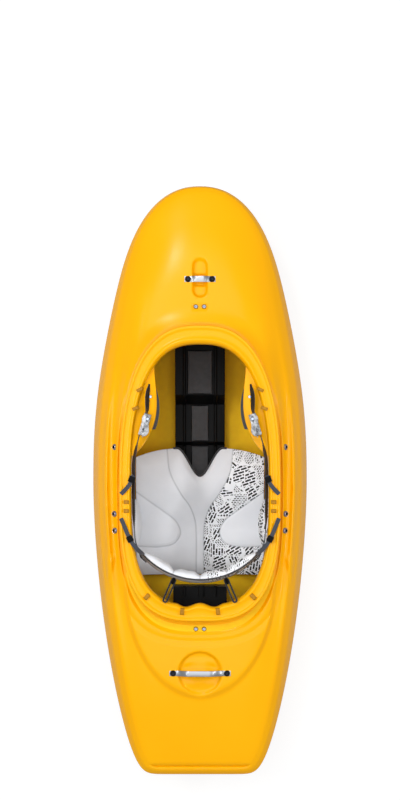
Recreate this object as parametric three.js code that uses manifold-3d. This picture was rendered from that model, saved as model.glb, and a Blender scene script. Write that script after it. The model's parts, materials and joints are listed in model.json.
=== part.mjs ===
// Whitewater playboat kayak: rotomoulded hull, cockpit outfitting, grab handles.
// Millimetres. +Y is the bow, +X the paddler's right hand, +Z up, z = 0 the flat planing bottom.
import * as THREE from 'three';
import { mergeVertices } from 'three/addons/utils/BufferGeometryUtils.js';
import Module from 'manifold-3d';

const wasm = await Module();
wasm.setup();

// Overall size
const LENGTH = 1738;
const WIDTH = 640;
const HALF_LENGTH = LENGTH / 2;
const HALF_WIDTH = WIDTH / 2;
const WALL = 5;
const GAP = 0.3;
const OVERRUN = 20;

// Plan outline: superellipse powers of the round bow and the square stern
const BOW_LENGTH_POWER = 2.29;
const BOW_WIDTH_POWER = 2.28;
const BOW_PINCH_SHARE = 0.049;
const BOW_PINCH_POWER = 1.37;
const STERN_TAPER_SHARE = 0.363;
const STERN_TAPER_POWER = 1.75;
const STERN_END_POWER = 5.04;
const STERN_CORNER_POWER = 13;

// Heights of the hull along its length
const FLAT_HALF_LENGTH = 300;
const BOW_ROCKER = 195;
const STERN_ROCKER = 150;
const BOW_ROCKER_POWER = 1.7;
const STERN_ROCKER_POWER = 1.8;
const SEAM_HEIGHT = 135;
const SEAM_BOW_HEIGHT = 240;
const SEAM_STERN_HEIGHT = 174;
const SEAM_POWER = 1.6;
const SEAM_BULGE = 5;
const SHOULDER_HEIGHT = 268;
const SHOULDER_BOW_HEIGHT = 268;
const SHOULDER_STERN_HEIGHT = 198;
const SHOULDER_POWER = 1.5;
const SHOULDER_SAG = 14;
const BILGE_SHARE = 0.38;

// How far each hull guide line lies inside the outline, at the sides and at the ends
const KEEL_END_INSET = 230;
const CHINE_INSET = 70;
const CHINE_END_INSET = 90;
const BILGE_INSET = 20;
const BILGE_END_INSET = 34;
const SHOULDER_INSET = 46;
const SHOULDER_END_INSET = 28;

// How much of each hull corner is rounded off, as a share of the way to its neighbours
const CHINE_ROUND_SHARE = 0.1;
const BILGE_ROUND_SHARE = 0.2;
const SEAM_ROUND_SHARE = 0.3;
const SHOULDER_ROUND_SHARE = 0.34;
const CROWN_ROUND_SHARE = 0.45;

// Cockpit rim: an egg-shaped flange on a neck, sloping down to the rear
const SIDE_DECK_BREADTH = 87;
const RIM_HALF_WIDTH = HALF_WIDTH - SIDE_DECK_BREADTH;
const RIM_SIDE_BREADTH = 34;
const COCKPIT_HALF_WIDTH = RIM_HALF_WIDTH - RIM_SIDE_BREADTH;
const RIM_CENTRE = -29;
const RIM_REAR_REACH = 379;
const RIM_REAR = RIM_CENTRE - RIM_REAR_REACH;

// Seat plan: width from the cockpit's opening, length from its rear end
const SEAT_SIDE_CLEARANCE = 7;
const SEAT_HALF_WIDTH = COCKPIT_HALF_WIDTH - SEAT_SIDE_CLEARANCE;
const SEAT_LEAD = 124;
const SEAT_LENGTH = 382;
const SEAT_NOTCH_DEPTH = 84;
const SEAT_CORNER_DEPTH = 27;
const SEAT_NOTCH_SHARE = 0.36;
const SEAT_REAR = RIM_REAR + SEAT_LEAD;
const SEAT_LOBE_FRONT = SEAT_REAR + SEAT_LENGTH;
const SEAT_CORNER_FRONT = SEAT_LOBE_FRONT - SEAT_CORNER_DEPTH;
const SEAT_NOTCH_FRONT = SEAT_LOBE_FRONT - SEAT_NOTCH_DEPTH;
const SEAT_FLAT_LENGTH = 134;
const SEAT_RISE_RUN = 170;
const SEAT_RISE_START = SEAT_REAR + SEAT_FLAT_LENGTH;
const SEAT_RISE = 55;

// Back band plan: an arc across the seat's rear, its ends clear of the seat's sides
const BAND_HALF_ANGLE = THREE.MathUtils.degToRad(50);
const BAND_SIDE_CLEARANCE = 13.5;
const BAND_SETBACK = 13;
const BAND_RADIUS = (SEAT_HALF_WIDTH - BAND_SIDE_CLEARANCE) / Math.sin(BAND_HALF_ANGLE);
const BAND_CENTRE = SEAT_REAR - BAND_SETBACK + BAND_RADIUS;
const BAND_END = BAND_CENTRE - BAND_RADIUS * Math.cos(BAND_HALF_ANGLE);

// Thigh hooks lie ahead of the band's ends, and the rim's front lies ahead of the hooks
const HOOK_LEAD = 283.8;
const HOOK_LENGTH = 265;
const HOOK_FRONT_SETBACK = 114;
const HOOK_REAR = BAND_END + HOOK_LEAD;
const HOOK_FRONT = HOOK_REAR + HOOK_LENGTH;
const RIM_FRONT = HOOK_FRONT + HOOK_FRONT_SETBACK;
const RIM_FRONT_REACH = RIM_FRONT - RIM_CENTRE;

// Rim section, from its rolled edge down the neck to the deck
const RIM_FRONT_POWER = 2.6;
const RIM_REAR_POWER = 3;
const RIM_FRONT_HEIGHT = 345;
const RIM_REAR_HEIGHT = 300;
const RIM_FRONT_BREADTH = 53;
const RIM_REAR_BREADTH = 46;
const RIM_OVERHANG = 22;
const RIM_EDGE_DROP = 3;
const RIM_UNDER_DROP = 11;
const RIM_ROLL_SHARE = 0.35;
const RIM_ROLL_DROP = 12;
const RIM_WALL_DROP = 45;
const NECK_DROP = 34;
const COLLAR_DROP = 44;
const COLLAR_SIDE_OUTSET = 5;
const COLLAR_END_OUTSET = 37;
const CHANNEL_DEPTH = 9;
const END_CROWN = 14;

// Deck forms: a grab groove in the bow, a round dish and a raised panel in the stern
const GROOVE_SETBACK = 141;
const GROOVE_PLACE = RIM_FRONT + GROOVE_SETBACK;
const GROOVE_HALF_WIDTH = 24;
const GROOVE_HALF_LENGTH = 58;
const GROOVE_DEPTH = 22;
const DISH_SETBACK = 155;
const DISH_PLACE = RIM_REAR - DISH_SETBACK;
const DISH_RADIUS = 66;
const DISH_DEPTH = 11;
const PANEL_LEAD = 108;
const PANEL_START = RIM_REAR + PANEL_LEAD;
const PANEL_HALF_WIDTH = 226;
const PANEL_LENGTH = 345;
const PANEL_RISE = 9;
const PANEL_FADE = 90;
const EDGE_SHARE = 0.3;

// Fasteners
const SHANK_RADIUS = 4;
const HEAD_RADIUS = 6.5;
const HEAD_HEIGHT = 4;
const WASHER_RADIUS = 9;
const WASHER_HEIGHT = 2;
const NUT_RADIUS = 7;
const NUT_HEIGHT = 6;
const DECK_SCREW_SPACING = 24;
const DECK_SCREW_DEPTH = 16;
const FRONT_SCREW_SETBACK = 57;
const REAR_SCREW_SETBACK = 25;
const FRONT_SCREW_PLACE = RIM_FRONT + FRONT_SCREW_SETBACK;
const REAR_SCREW_PLACE = RIM_REAR - REAR_SCREW_SETBACK;
const BRACE_BOLT_LEAD = 128;
const BRACE_BOLT_PLACE = RIM_CENTRE + BRACE_BOLT_LEAD;
const SIDE_BOLT_OUTSET = 15;
const SIDE_BOLT_HALF_SPAN = RIM_HALF_WIDTH + SIDE_BOLT_OUTSET;

// Travel of what slides
const SEAT_TRAVEL = 50;
const THIGH_TRAVEL = 19;

const hullYellow = new THREE.MeshStandardMaterial({ color: '#fcb804', roughness: 0.38 });
const mouldedBlack = new THREE.MeshStandardMaterial({ color: '#121212', roughness: 0.55 });
const foamBlack = new THREE.MeshStandardMaterial({ color: '#2b2b2b', roughness: 0.9 });
const foamGrey = new THREE.MeshStandardMaterial({ color: '#cbcbcb', roughness: 0.8 });
const webbing = new THREE.MeshStandardMaterial({ color: '#33363b', roughness: 0.85 });
const satinAluminium = new THREE.MeshStandardMaterial({ color: '#dfe0dc', roughness: 0.3, metalness: 1 });
const castMetal = new THREE.MeshStandardMaterial({ color: '#a4a5a5', roughness: 0.45, metalness: 1 });
const stainless = new THREE.MeshStandardMaterial({ color: '#b9bdc2', roughness: 0.25, metalness: 1 });

const kayak = new THREE.Group();
kayak.name = 'whitewater_kayak';

const X_AXIS = new THREE.Vector3(1, 0, 0);
const Y_AXIS = new THREE.Vector3(0, 1, 0);
const Z_AXIS = new THREE.Vector3(0, 0, 1);

const mix = (a, b, share) => a + (b - a) * share;
const clamp01 = (value) => Math.min(1, Math.max(0, value));
const ease = (value) => clamp01(value) ** 2 * (3 - 2 * clamp01(value));
const range = (count) => Array.from({ length: count }, (_, index) => index);

// A closed body from points and faces: shared points merged, flat faces dropped, turned outwards
function closedBody(points, faces) {
  const loose = new THREE.BufferGeometry();
  loose.setAttribute('position', new THREE.Float32BufferAttribute(points.flat(), 3));
  loose.setIndex(faces.flat());
  const merged = mergeVertices(loose);
  const index = merged.getIndex().array;
  const kept = [];
  for (let i = 0; i < index.length; i += 3) {
    const [a, b, c] = [index[i], index[i + 1], index[i + 2]];
    if (a !== b && b !== c && c !== a) kept.push([a, b, c]);
  }
  const place = merged.getAttribute('position');
  const corner = (i) => new THREE.Vector3().fromBufferAttribute(place, i);
  const volume = kept.reduce((sum, [a, b, c]) => sum + corner(a).dot(corner(b).cross(corner(c))), 0);
  merged.setIndex(kept.map(([a, b, c]) => (volume < 0 ? [a, c, b] : [a, b, c])).flat());
  return merged;
}

// Faces that close a ring by zipping its two sides together from its first and last points
function zipped(ring, start, flip) {
  const faces = [];
  const apart = (i, j) => Math.hypot(...ring[i].map((value, axis) => value - ring[j][axis]));
  let [low, high] = [0, ring.length - 1];
  while (high - low > 1) {
    const lowFirst = apart(low + 1, high) < apart(low, high - 1);
    const face = [low, lowFirst ? low + 1 : high - 1, high].map((i) => start + i);
    faces.push(flip ? face.reverse() : face);
    if (lowFirst) low += 1;
    else high -= 1;
  }
  return faces;
}

// A skin over rings of equal count, its open ends closed
function skin(rings, looped = false) {
  const count = rings[0].length;
  const points = rings.flat();
  const faces = [];
  const quad = (a, b, c, d) => faces.push([a, b, c], [a, c, d]);
  for (const i of range(looped ? rings.length : rings.length - 1)) {
    const next = (i + 1) % rings.length;
    for (const j of range(count)) {
      const k = (j + 1) % count;
      quad(i * count + j, next * count + j, next * count + k, i * count + k);
    }
  }
  if (!looped) {
    const last = rings.length - 1;
    faces.push(...zipped(rings[0], 0, false), ...zipped(rings[last], last * count, true));
  }
  return closedBody(points, faces);
}

// A flat outline carried a depth along the frame's third axis
function prism(outline, depth, frame = new THREE.Matrix4()) {
  const shape = new THREE.Shape(outline.map(([a, b]) => new THREE.Vector2(a, b)));
  return bare(new THREE.ExtrudeGeometry(shape, { depth, bevelEnabled: false }).applyMatrix4(frame));
}

function bare(geometry) {
  geometry.deleteAttribute('normal');
  geometry.deleteAttribute('uv');
  return mergeVertices(geometry);
}

const basis = (x, y, z, origin = new THREE.Vector3()) => (
  new THREE.Matrix4().makeBasis(x, y, z).setPosition(origin));
// A side profile of (y, z) points, carried along +X from the given x
const alongX = (start) => basis(Y_AXIS, Z_AXIS, X_AXIS, new THREE.Vector3(start, 0, 0));
// A section of (x, z) points, carried along -Y from the given y
const alongY = (start) => basis(X_AXIS, Z_AXIS, Y_AXIS.clone().negate(), new THREE.Vector3(0, start, 0));

// A round body about an axis, from (radius, level) points
function turned(profile, point, axis, steps = 8) {
  const lathe = new THREE.LatheGeometry(profile.map(([r, h]) => new THREE.Vector2(r, h)), steps);
  lathe.applyQuaternion(new THREE.Quaternion().setFromUnitVectors(Y_AXIS, axis));
  lathe.translate(point.x, point.y, point.z);
  const body = bare(lathe);
  return closedBody(vectorsOf(body), facesOf(body));
}

function vectorsOf(geometry) {
  const place = geometry.getAttribute('position');
  return range(place.count).map((i) => [place.getX(i), place.getY(i), place.getZ(i)]);
}

function facesOf(geometry) {
  const index = geometry.getIndex().array;
  return range(index.length / 3).map((i) => [index[3 * i], index[3 * i + 1], index[3 * i + 2]]);
}

function toSolid(geometry) {
  const vertProperties = new Float32Array(geometry.getAttribute('position').array);
  const triVerts = new Uint32Array(geometry.getIndex().array);
  return new wasm.Manifold(new wasm.Mesh({ numProp: 3, vertProperties, triVerts }));
}

function fromSolid(solid) {
  const mesh = solid.getMesh();
  const geometry = new THREE.BufferGeometry();
  geometry.setAttribute('position', new THREE.BufferAttribute(mesh.vertProperties, 3));
  geometry.setIndex(new THREE.BufferAttribute(mesh.triVerts, 1));
  return geometry;
}

const cut = (geometry, ...tools) => fromSolid(
  tools.reduce((solid, tool) => solid.subtract(toSolid(tool)), toSolid(geometry)));
const join = (geometry, ...others) => fromSolid(
  others.reduce((solid, other) => solid.add(toSolid(other)), toSolid(geometry)));

function addPiece(name, geometry, material) {
  const mesh = new THREE.Mesh(geometry, material);
  mesh.name = name;
  kayak.add(mesh);
}

// A piece of the right side and its mirror image on the left
function addPair(stem, geometry, material) {
  addPiece(`${stem}_right`, geometry, material);
  addPiece(`${stem}_left`, mirrored(geometry), material);
}

function mirrored(geometry) {
  const points = vectorsOf(geometry).map(([x, y, z]) => [-x, y, z]);
  return closedBody(points, facesOf(geometry).map(([a, b, c]) => [a, c, b]));
}

// Hull shape

const HALF_STATIONS = 31;
const CURVE_STEPS = 400;
const CENTRE_BAND = 75;
const CENTRE_WEIGHT_SHARE = 1.6;
const TURN_RUN = 150;

// Half of the plan outline, bow tip to stern, as shares of half width and half length
function outlineCurve() {
  return range(CURVE_STEPS + 1).map((step) => {
    const along = Math.cos((Math.PI * step) / CURVE_STEPS);
    const t = Math.abs(along);
    const bowPinch = 1 - BOW_PINCH_SHARE * Math.sin(Math.PI * t ** BOW_PINCH_POWER) ** 2;
    const bow = clamp01(1 - t ** BOW_LENGTH_POWER) ** (1 / BOW_WIDTH_POWER) * bowPinch;
    const taper = 1 - STERN_TAPER_SHARE * t ** STERN_TAPER_POWER;
    const stern = taper * clamp01(1 - t ** STERN_END_POWER) ** (1 / STERN_CORNER_POWER);
    return [along > 0 ? bow : stern, along];
  });
}

// Half of the rim's egg shape, front to rear, as shares of its half width and reaches
function rimCurve() {
  return range(CURVE_STEPS + 1).map((step) => {
    const angle = (Math.PI * step) / CURVE_STEPS;
    const power = angle < Math.PI / 2 ? RIM_FRONT_POWER : RIM_REAR_POWER;
    const side = Math.abs(Math.sin(angle)) ** (2 / power);
    const along = Math.sign(Math.cos(angle)) * Math.abs(Math.cos(angle)) ** (2 / power);
    return [side, along];
  });
}

// Evenly paced stations along a curve: the pace quickens on bends and near the centre line
function paced(curve, halfWidth, reach) {
  const place = curve.map(([side, along]) => [side * halfWidth, along * reach]);
  const pace = [0];
  for (let i = 1; i < place.length; i += 1) {
    const [dx, dy] = [place[i][0] - place[i - 1][0], place[i][1] - place[i - 1][1]];
    const before = Math.max(i - 1, 1);
    const heading = Math.atan2(dy, dx);
    const [px, py] = [place[before][0] - place[before - 1][0], place[before][1] - place[before - 1][1]];
    const turn = Math.abs(heading - Math.atan2(py, px)) % Math.PI;
    const centre = 1 + CENTRE_WEIGHT_SHARE * Math.exp(-((place[i][0] / CENTRE_BAND) ** 2));
    pace.push(pace[i - 1] + Math.hypot(dx, dy) * centre + TURN_RUN * turn);
  }
  return range(HALF_STATIONS + 1).map((station) => {
    const wanted = (pace[pace.length - 1] * station) / HALF_STATIONS;
    const found = pace.findIndex((value) => value >= wanted);
    const above = found < 0 ? pace.length - 1 : Math.max(1, found);
    const share = clamp01((wanted - pace[above - 1]) / (pace[above] - pace[above - 1]));
    return range(2).map((axis) => mix(curve[above - 1][axis], curve[above][axis], share));
  });
}

const outlineStations = paced(outlineCurve(), HALF_WIDTH, HALF_LENGTH);
const rimStations = paced(rimCurve(), RIM_HALF_WIDTH, RIM_FRONT_REACH);

function rocker(y) {
  const share = clamp01((Math.abs(y) - FLAT_HALF_LENGTH) / (HALF_LENGTH - FLAT_HALF_LENGTH));
  return y > 0 ? BOW_ROCKER * share ** BOW_ROCKER_POWER : STERN_ROCKER * share ** STERN_ROCKER_POWER;
}

function seamLine(y) {
  const end = y > 0 ? SEAM_BOW_HEIGHT : SEAM_STERN_HEIGHT;
  return mix(SEAM_HEIGHT, end, Math.abs(y / HALF_LENGTH) ** SEAM_POWER);
}

function shoulderLine(y) {
  const share = Math.abs(y / HALF_LENGTH);
  const end = y > 0 ? SHOULDER_BOW_HEIGHT : SHOULDER_STERN_HEIGHT;
  const sag = y > 0 ? SHOULDER_SAG * Math.sin(Math.PI * share) : 0;
  return mix(SHOULDER_HEIGHT, end, share ** SHOULDER_POWER) - sag;
}

const bilgeLine = (y) => mix(rocker(y), seamLine(y), BILGE_SHARE);
const rimSlope = (RIM_FRONT_HEIGHT - RIM_REAR_HEIGHT) / (RIM_FRONT_REACH + RIM_REAR_REACH);
const rimLine = (y) => RIM_FRONT_HEIGHT + rimSlope * (y - RIM_CENTRE - RIM_FRONT_REACH);

// Half width of the rim's inner edge at a place along the boat
function innerEdge(y) {
  const along = y - RIM_CENTRE;
  const front = along > 0;
  const reach = front ? RIM_FRONT_REACH - RIM_FRONT_BREADTH : RIM_REAR_REACH - RIM_REAR_BREADTH;
  const power = front ? RIM_FRONT_POWER : RIM_REAR_POWER;
  const side = clamp01(1 - (Math.abs(along) / reach) ** power) ** (1 / power);
  return (RIM_HALF_WIDTH - RIM_SIDE_BREADTH) * side;
}

// Height that the deck's forms add to the plain deck
function deckRelief(x, y) {
  const groove = Math.hypot(x / GROOVE_HALF_WIDTH, (y - GROOVE_PLACE) / GROOVE_HALF_LENGTH);
  const dish = Math.hypot(x, y - DISH_PLACE) / DISH_RADIUS;
  const aft = Math.max(0, PANEL_START - y) / PANEL_LENGTH;
  const panel = Math.hypot(x / PANEL_HALF_WIDTH, aft);
  const panelFade = ease((PANEL_START + PANEL_FADE - y) / PANEL_FADE);
  return PANEL_RISE * ease((1 - panel) / EDGE_SHARE) * panelFade
    - GROOVE_DEPTH * ease((1 - groove) / EDGE_SHARE) - DISH_DEPTH * ease((1 - dish) / EDGE_SHARE);
}

// A line through corners, each rounded by a quadratic curve that takes a share of its neighbours
function roundedLine(corners) {
  const line = [];
  corners.forEach(({ at: tip, round = 0, bend = 0, run = 1 }, i) => {
    const previous = corners[Math.max(0, i - 1)].at;
    const next = corners[Math.min(corners.length - 1, i + 1)].at;
    const start = tip.map((value, axis) => mix(value, previous[axis], round));
    const end = tip.map((value, axis) => mix(value, next[axis], round));
    const last = line[line.length - 1];
    if (last) {
      for (const step of range(last.run - 1)) {
        const share = (step + 1) / last.run;
        const at = last.at.map((value, axis) => mix(value, start[axis], share));
        line.push({ at, from: corners[i - 1], run: 1, between: true });
      }
    }
    line.push({ at: start, from: corners[i], run: 1 });
    for (const step of range(bend)) {
      const t = (step + 1) / bend;
      const curve = tip.map((value, axis) => (
        (1 - t) ** 2 * start[axis] + 2 * t * (1 - t) * value + t ** 2 * end[axis]));
      line.push({ at: curve, from: corners[i], run: 1 });
    }
    line[line.length - 1].run = run;
  });
  return line;
}

// One cross line of the hull, from the keel out and up to the rim, and back inside
function hullSection(station) {
  const [side, along] = outlineStations[station];
  const [rimSide, rimAlong] = rimStations[station];
  const rimReach = rimAlong > 0 ? RIM_FRONT_REACH : RIM_REAR_REACH;
  const rimEnd = rimAlong > 0 ? RIM_FRONT_BREADTH : RIM_REAR_BREADTH;
  const onHull = (inset, endInset, height, lift = 0) => {
    const y = along * (HALF_LENGTH - endInset);
    return [side * (HALF_WIDTH - inset), y, height(y) + lift];
  };
  const onRim = (inset, endInset, drop) => {
    const y = RIM_CENTRE + rimAlong * (rimReach - endInset);
    return [rimSide * (RIM_HALF_WIDTH - inset), y, rimLine(y) - drop];
  };
  const acrossRim = (share, drop) => onRim(RIM_SIDE_BREADTH * share, rimEnd * share, drop);
  const crown = mix(-CHANNEL_DEPTH, END_CROWN, along ** 2);
  const halfWay = (a, b) => a.map((value, axis) => mix(value, b[axis], 1 / 2));
  const crowned = (a, b, lift) => halfWay(a, b).map((value, axis) => (axis === 2 ? value + lift : value));

  const shoulder = onHull(SHOULDER_INSET, SHOULDER_END_INSET, shoulderLine);
  const collar = onRim(-COLLAR_SIDE_OUTSET, -COLLAR_END_OUTSET, COLLAR_DROP);
  const innerShoulder = onHull(SHOULDER_INSET + WALL, SHOULDER_END_INSET + WALL, shoulderLine, -WALL);
  const innerCollar = onRim(-COLLAR_SIDE_OUTSET, -COLLAR_END_OUTSET, COLLAR_DROP + WALL);
  const innerChine = onHull(CHINE_INSET + WALL, CHINE_END_INSET + WALL, rocker, WALL);
  const rollStart = 1 - RIM_ROLL_SHARE;
  const outer = [
    { at: onHull(HALF_WIDTH, KEEL_END_INSET, rocker), run: 3, floor: 0 },
    { at: onHull(CHINE_INSET, CHINE_END_INSET, rocker), round: CHINE_ROUND_SHARE, bend: 1 },
    { at: onHull(BILGE_INSET, BILGE_END_INSET, bilgeLine), round: BILGE_ROUND_SHARE, bend: 1 },
    { at: onHull(-SEAM_BULGE, -SEAM_BULGE, seamLine), round: SEAM_ROUND_SHARE, bend: 2 },
    { at: shoulder, round: SHOULDER_ROUND_SHARE, bend: 3, run: 2, deck: true },
    { at: crowned(shoulder, collar, crown), round: CROWN_ROUND_SHARE, bend: 3, run: 2, deck: true },
    { at: collar },
    { at: onRim(RIM_OVERHANG, RIM_OVERHANG, NECK_DROP) },
    { at: onRim(RIM_OVERHANG, RIM_OVERHANG, RIM_UNDER_DROP) },
    { at: onRim(0, 0, RIM_UNDER_DROP) },
    { at: onRim(0, 0, RIM_EDGE_DROP) },
    { at: acrossRim(rollStart, RIM_EDGE_DROP) },
    { at: acrossRim((1 + rollStart) / 2, 0) },
    { at: acrossRim(1, RIM_ROLL_DROP) },
    { at: acrossRim(1, RIM_WALL_DROP) },
  ];
  const inner = [
    { at: onRim(RIM_OVERHANG + WALL, RIM_OVERHANG + WALL, RIM_WALL_DROP) },
    { at: innerCollar },
    { at: crowned(innerShoulder, innerCollar, crown), round: CROWN_ROUND_SHARE, bend: 3, deck: true },
    { at: innerShoulder, round: SHOULDER_ROUND_SHARE, bend: 2, deck: true },
    { at: onHull(WALL - SEAM_BULGE, WALL - SEAM_BULGE, seamLine), round: SEAM_ROUND_SHARE, bend: 2 },
    { at: onHull(BILGE_INSET + WALL, BILGE_END_INSET + WALL, bilgeLine, WALL) },
    { at: innerChine, round: CHINE_ROUND_SHARE, bend: 1, run: 3, floor: WALL },
    { at: onHull(HALF_WIDTH, KEEL_END_INSET, rocker, WALL) },
  ];
  return [...roundedLine(outer), ...roundedLine(inner)].map(({ at: [x, y, z], from, between }) => {
    if (from.deck) return [x, y, z + deckRelief(x, y)];
    return [x, y, between && 'floor' in from ? rocker(y) + from.floor : z];
  });
}

function hullGeometry() {
  const half = range(HALF_STATIONS + 1).map(hullSection);
  const mirroredHalf = range(HALF_STATIONS - 1).map((i) => (
    half[HALF_STATIONS - 1 - i].map(([x, y, z]) => [-x, y, z])));
  const sections = [...half, ...mirroredHalf];
  const count = sections[0].length;
  const points = sections.flat();
  const faces = [];
  for (const i of range(sections.length)) {
    const next = (i + 1) % sections.length;
    for (const j of range(count - 1)) {
      const [a, b, c, d] = [i * count + j, next * count + j, next * count + j + 1, i * count + j + 1];
      faces.push(...(i < HALF_STATIONS ? [[a, b, c], [a, c, d]] : [[a, b, d], [b, c, d]]));
    }
  }
  return closedBody(points, faces);
}

// The plane that the thigh hook lies in: below the rim, tilted down towards the cockpit
const HOOK_BREADTH = 54;
const HOOK_SKEW_POWER = 0.85;
const HOOK_EDGE_POWER = 0.9;
const HOOK_DROP = 18;
const HOOK_TILT_SHARE = 0.22;
const HOOK_ROOT_INSET = 29;
const HOOK_ROOT = COCKPIT_HALF_WIDTH - HOOK_ROOT_INSET;
const HOOK_STATIONS = 13;
const hookTop = (x, y) => rimLine(y) - HOOK_DROP - HOOK_TILT_SHARE * (HOOK_ROOT - x);

// Yellow thigh hook that reaches in from the rim's inner edge
function thighHook() {
  return skin(range(HOOK_STATIONS).map((station) => {
    const share = station / (HOOK_STATIONS - 1);
    const y = mix(HOOK_REAR, HOOK_FRONT, share);
    const bulge = Math.sin(Math.PI * share ** HOOK_SKEW_POWER);
    const root = innerEdge(y) + WALL;
    const tip = innerEdge(y) + WALL / 2 - (HOOK_BREADTH + WALL) * clamp01(bulge) ** HOOK_EDGE_POWER;
    const ring = [[root, 0], [tip, 0], [tip, WALL], [root, WALL]];
    return ring.map(([x, under]) => [x, y, hookTop(x, y) - under]);
  }));
}

const shellBlank = hullGeometry();
const hook = thighHook();
const hullBlank = join(shellBlank, hook, mirrored(hook));
const probe = new THREE.Mesh(hullBlank, new THREE.MeshBasicMaterial({ side: THREE.DoubleSide }));
const caster = new THREE.Raycaster();
const RAY_LENGTH = HALF_LENGTH;
const DISC_STEPS = 16;

// Distances at which a line meets the hull, nearest first
function hullHits(origin, direction) {
  caster.set(origin, direction);
  const hits = caster.intersectObject(probe).map((hit) => hit.distance);
  return hits.filter((distance, i) => i === 0 || distance - hits[i - 1] > GAP);
}

const DOWN = Z_AXIS.clone().negate();
const deckHeight = (x, y) => RAY_LENGTH - hullHits(new THREE.Vector3(x, y, RAY_LENGTH), DOWN)[0];

// Levels of the hull wall's outer and inner face along an axis, over a disc about a point
function wallLevels(point, axis, radius) {
  const sideways = new THREE.Vector3().crossVectors(axis, Y_AXIS).normalize();
  const forward = new THREE.Vector3().crossVectors(sideways, axis);
  const levels = { outer: -Infinity, inner: Infinity };
  for (const i of range(DISC_STEPS + 1)) {
    const angle = (2 * Math.PI * i) / DISC_STEPS;
    const spread = i < DISC_STEPS ? radius : 0;
    const origin = point.clone().addScaledVector(sideways, spread * Math.cos(angle))
      .addScaledVector(forward, spread * Math.sin(angle)).addScaledVector(axis, RAY_LENGTH);
    const [outer, inner] = hullHits(origin, axis.clone().negate());
    levels.outer = Math.max(levels.outer, RAY_LENGTH - outer);
    levels.inner = Math.min(levels.inner, RAY_LENGTH - inner);
  }
  return levels;
}

// Highest floor and lowest ceiling inside the hull over a span of x, at one place along the boat;
// the lines stand a gap to the side, off the edges that lie on the centre line
const SPAN_STEPS = 12;
function insideLevels(fromX, toX, y) {
  const levels = { floor: -Infinity, ceiling: Infinity };
  for (const i of range(SPAN_STEPS + 1)) {
    const x = mix(fromX, toX, i / SPAN_STEPS) + GAP;
    const below = new THREE.Vector3(x, y, -RAY_LENGTH);
    const hits = hullHits(below, Z_AXIS).map((distance) => distance - RAY_LENGTH);
    levels.floor = Math.max(levels.floor, hits[1]);
    levels.ceiling = Math.min(levels.ceiling, hits[2]);
  }
  return levels;
}

const holes = [];

// A washer-headed fastener through the hull wall: what it clamps lies outside (stack) or inside (grip)
function fastener({ x, y, height, axis = Z_AXIS, stack = 0, seat, reach, grip = 0, nut = true }) {
  const deck = height ?? deckHeight(x, y);
  const above = new THREE.Vector3(x, y, deck);
  const wall = wallLevels(above, axis, WASHER_RADIUS);
  const under = (seat === undefined ? wall.outer + GAP : seat - deck) + stack;
  const tail = nut ? wall.inner - GAP - grip : wall.inner - reach;
  const end = nut ? tail - NUT_HEIGHT : tail;
  const nutLine = nut ? [[NUT_RADIUS, end], [NUT_RADIUS, tail], [SHANK_RADIUS, tail]] : [[SHANK_RADIUS, end]];
  const headTop = under + WASHER_HEIGHT + HEAD_HEIGHT;
  const profile = [
    [0, end], ...nutLine, [SHANK_RADIUS, under], [WASHER_RADIUS, under],
    [WASHER_RADIUS, under + WASHER_HEIGHT / 2], [HEAD_RADIUS, under + WASHER_HEIGHT],
    [HEAD_RADIUS * Math.SQRT1_2, headTop - HEAD_HEIGHT / 4], [0, headTop],
  ];
  const hole = [[0, end - OVERRUN], [SHANK_RADIUS + GAP, end - OVERRUN],
    [SHANK_RADIUS + GAP, under + OVERRUN], [0, under + OVERRUN]];
  const bore = turned(hole, above, axis);
  holes.push(bore);
  return { body: turned(profile, above, axis), bore, wall, deck };
}

// A fastener of the right side and its mirror image
function fastenerPair(stem, options) {
  const right = fastener(options);
  holes.push(mirrored(right.bore));
  addPair(stem, right.body, stainless);
  return right;
}

// Grab handle: an arched strap on two bolted feet
const HANDLE_THICKNESS = 4;
const BOW_HANDLE_PLACE = GROOVE_PLACE - HANDLE_THICKNESS;
const BOW_HANDLE_HALF_SPAN = 45;
const BOW_HANDLE_BOLT = 35;
const BOW_HANDLE_ARCH = 6;
const BOW_HANDLE_BREADTH = 17;
const STERN_HANDLE_PLACE = DISH_PLACE;
const STERN_HANDLE_HALF_SPAN = 90;
const STERN_HANDLE_BOLT = 79;
const STERN_HANDLE_ARCH = 20;
const STERN_HANDLE_BREADTH = 16;
const ARCH_RUN_SHARE = 0.55;
const ARCH_STEPS = 16;
function grabHandle(stem, { place, halfSpan, boltAt, arch, breadth }) {
  const footInner = boltAt - WASHER_RADIUS;
  const seat = Math.max(...[boltAt, -boltAt].map((x) => {
    const deck = deckHeight(x, place);
    return deck + wallLevels(new THREE.Vector3(x, place, deck), Z_AXIS, breadth).outer;
  })) + GAP;
  const line = range(ARCH_STEPS + 1).map((i) => {
    const x = mix(-footInner, footInner, i / ARCH_STEPS);
    return [x, seat + arch * ease((1 - Math.abs(x) / footInner) / ARCH_RUN_SHARE)];
  });
  const lower = [[-halfSpan, seat], ...line, [halfSpan, seat]];
  const upper = lower.map(([x, z]) => [x, z + HANDLE_THICKNESS]).reverse();
  const strap = prism([...lower, ...upper], breadth, alongY(place + breadth / 2));
  const stack = HANDLE_THICKNESS + GAP;
  const right = fastenerPair(`${stem}_handle_bolt`, { x: boltAt, y: place, stack, seat });
  addPiece(`${stem}_handle`, cut(strap, right.bore, mirrored(right.bore)), satinAluminium);
}

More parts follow.
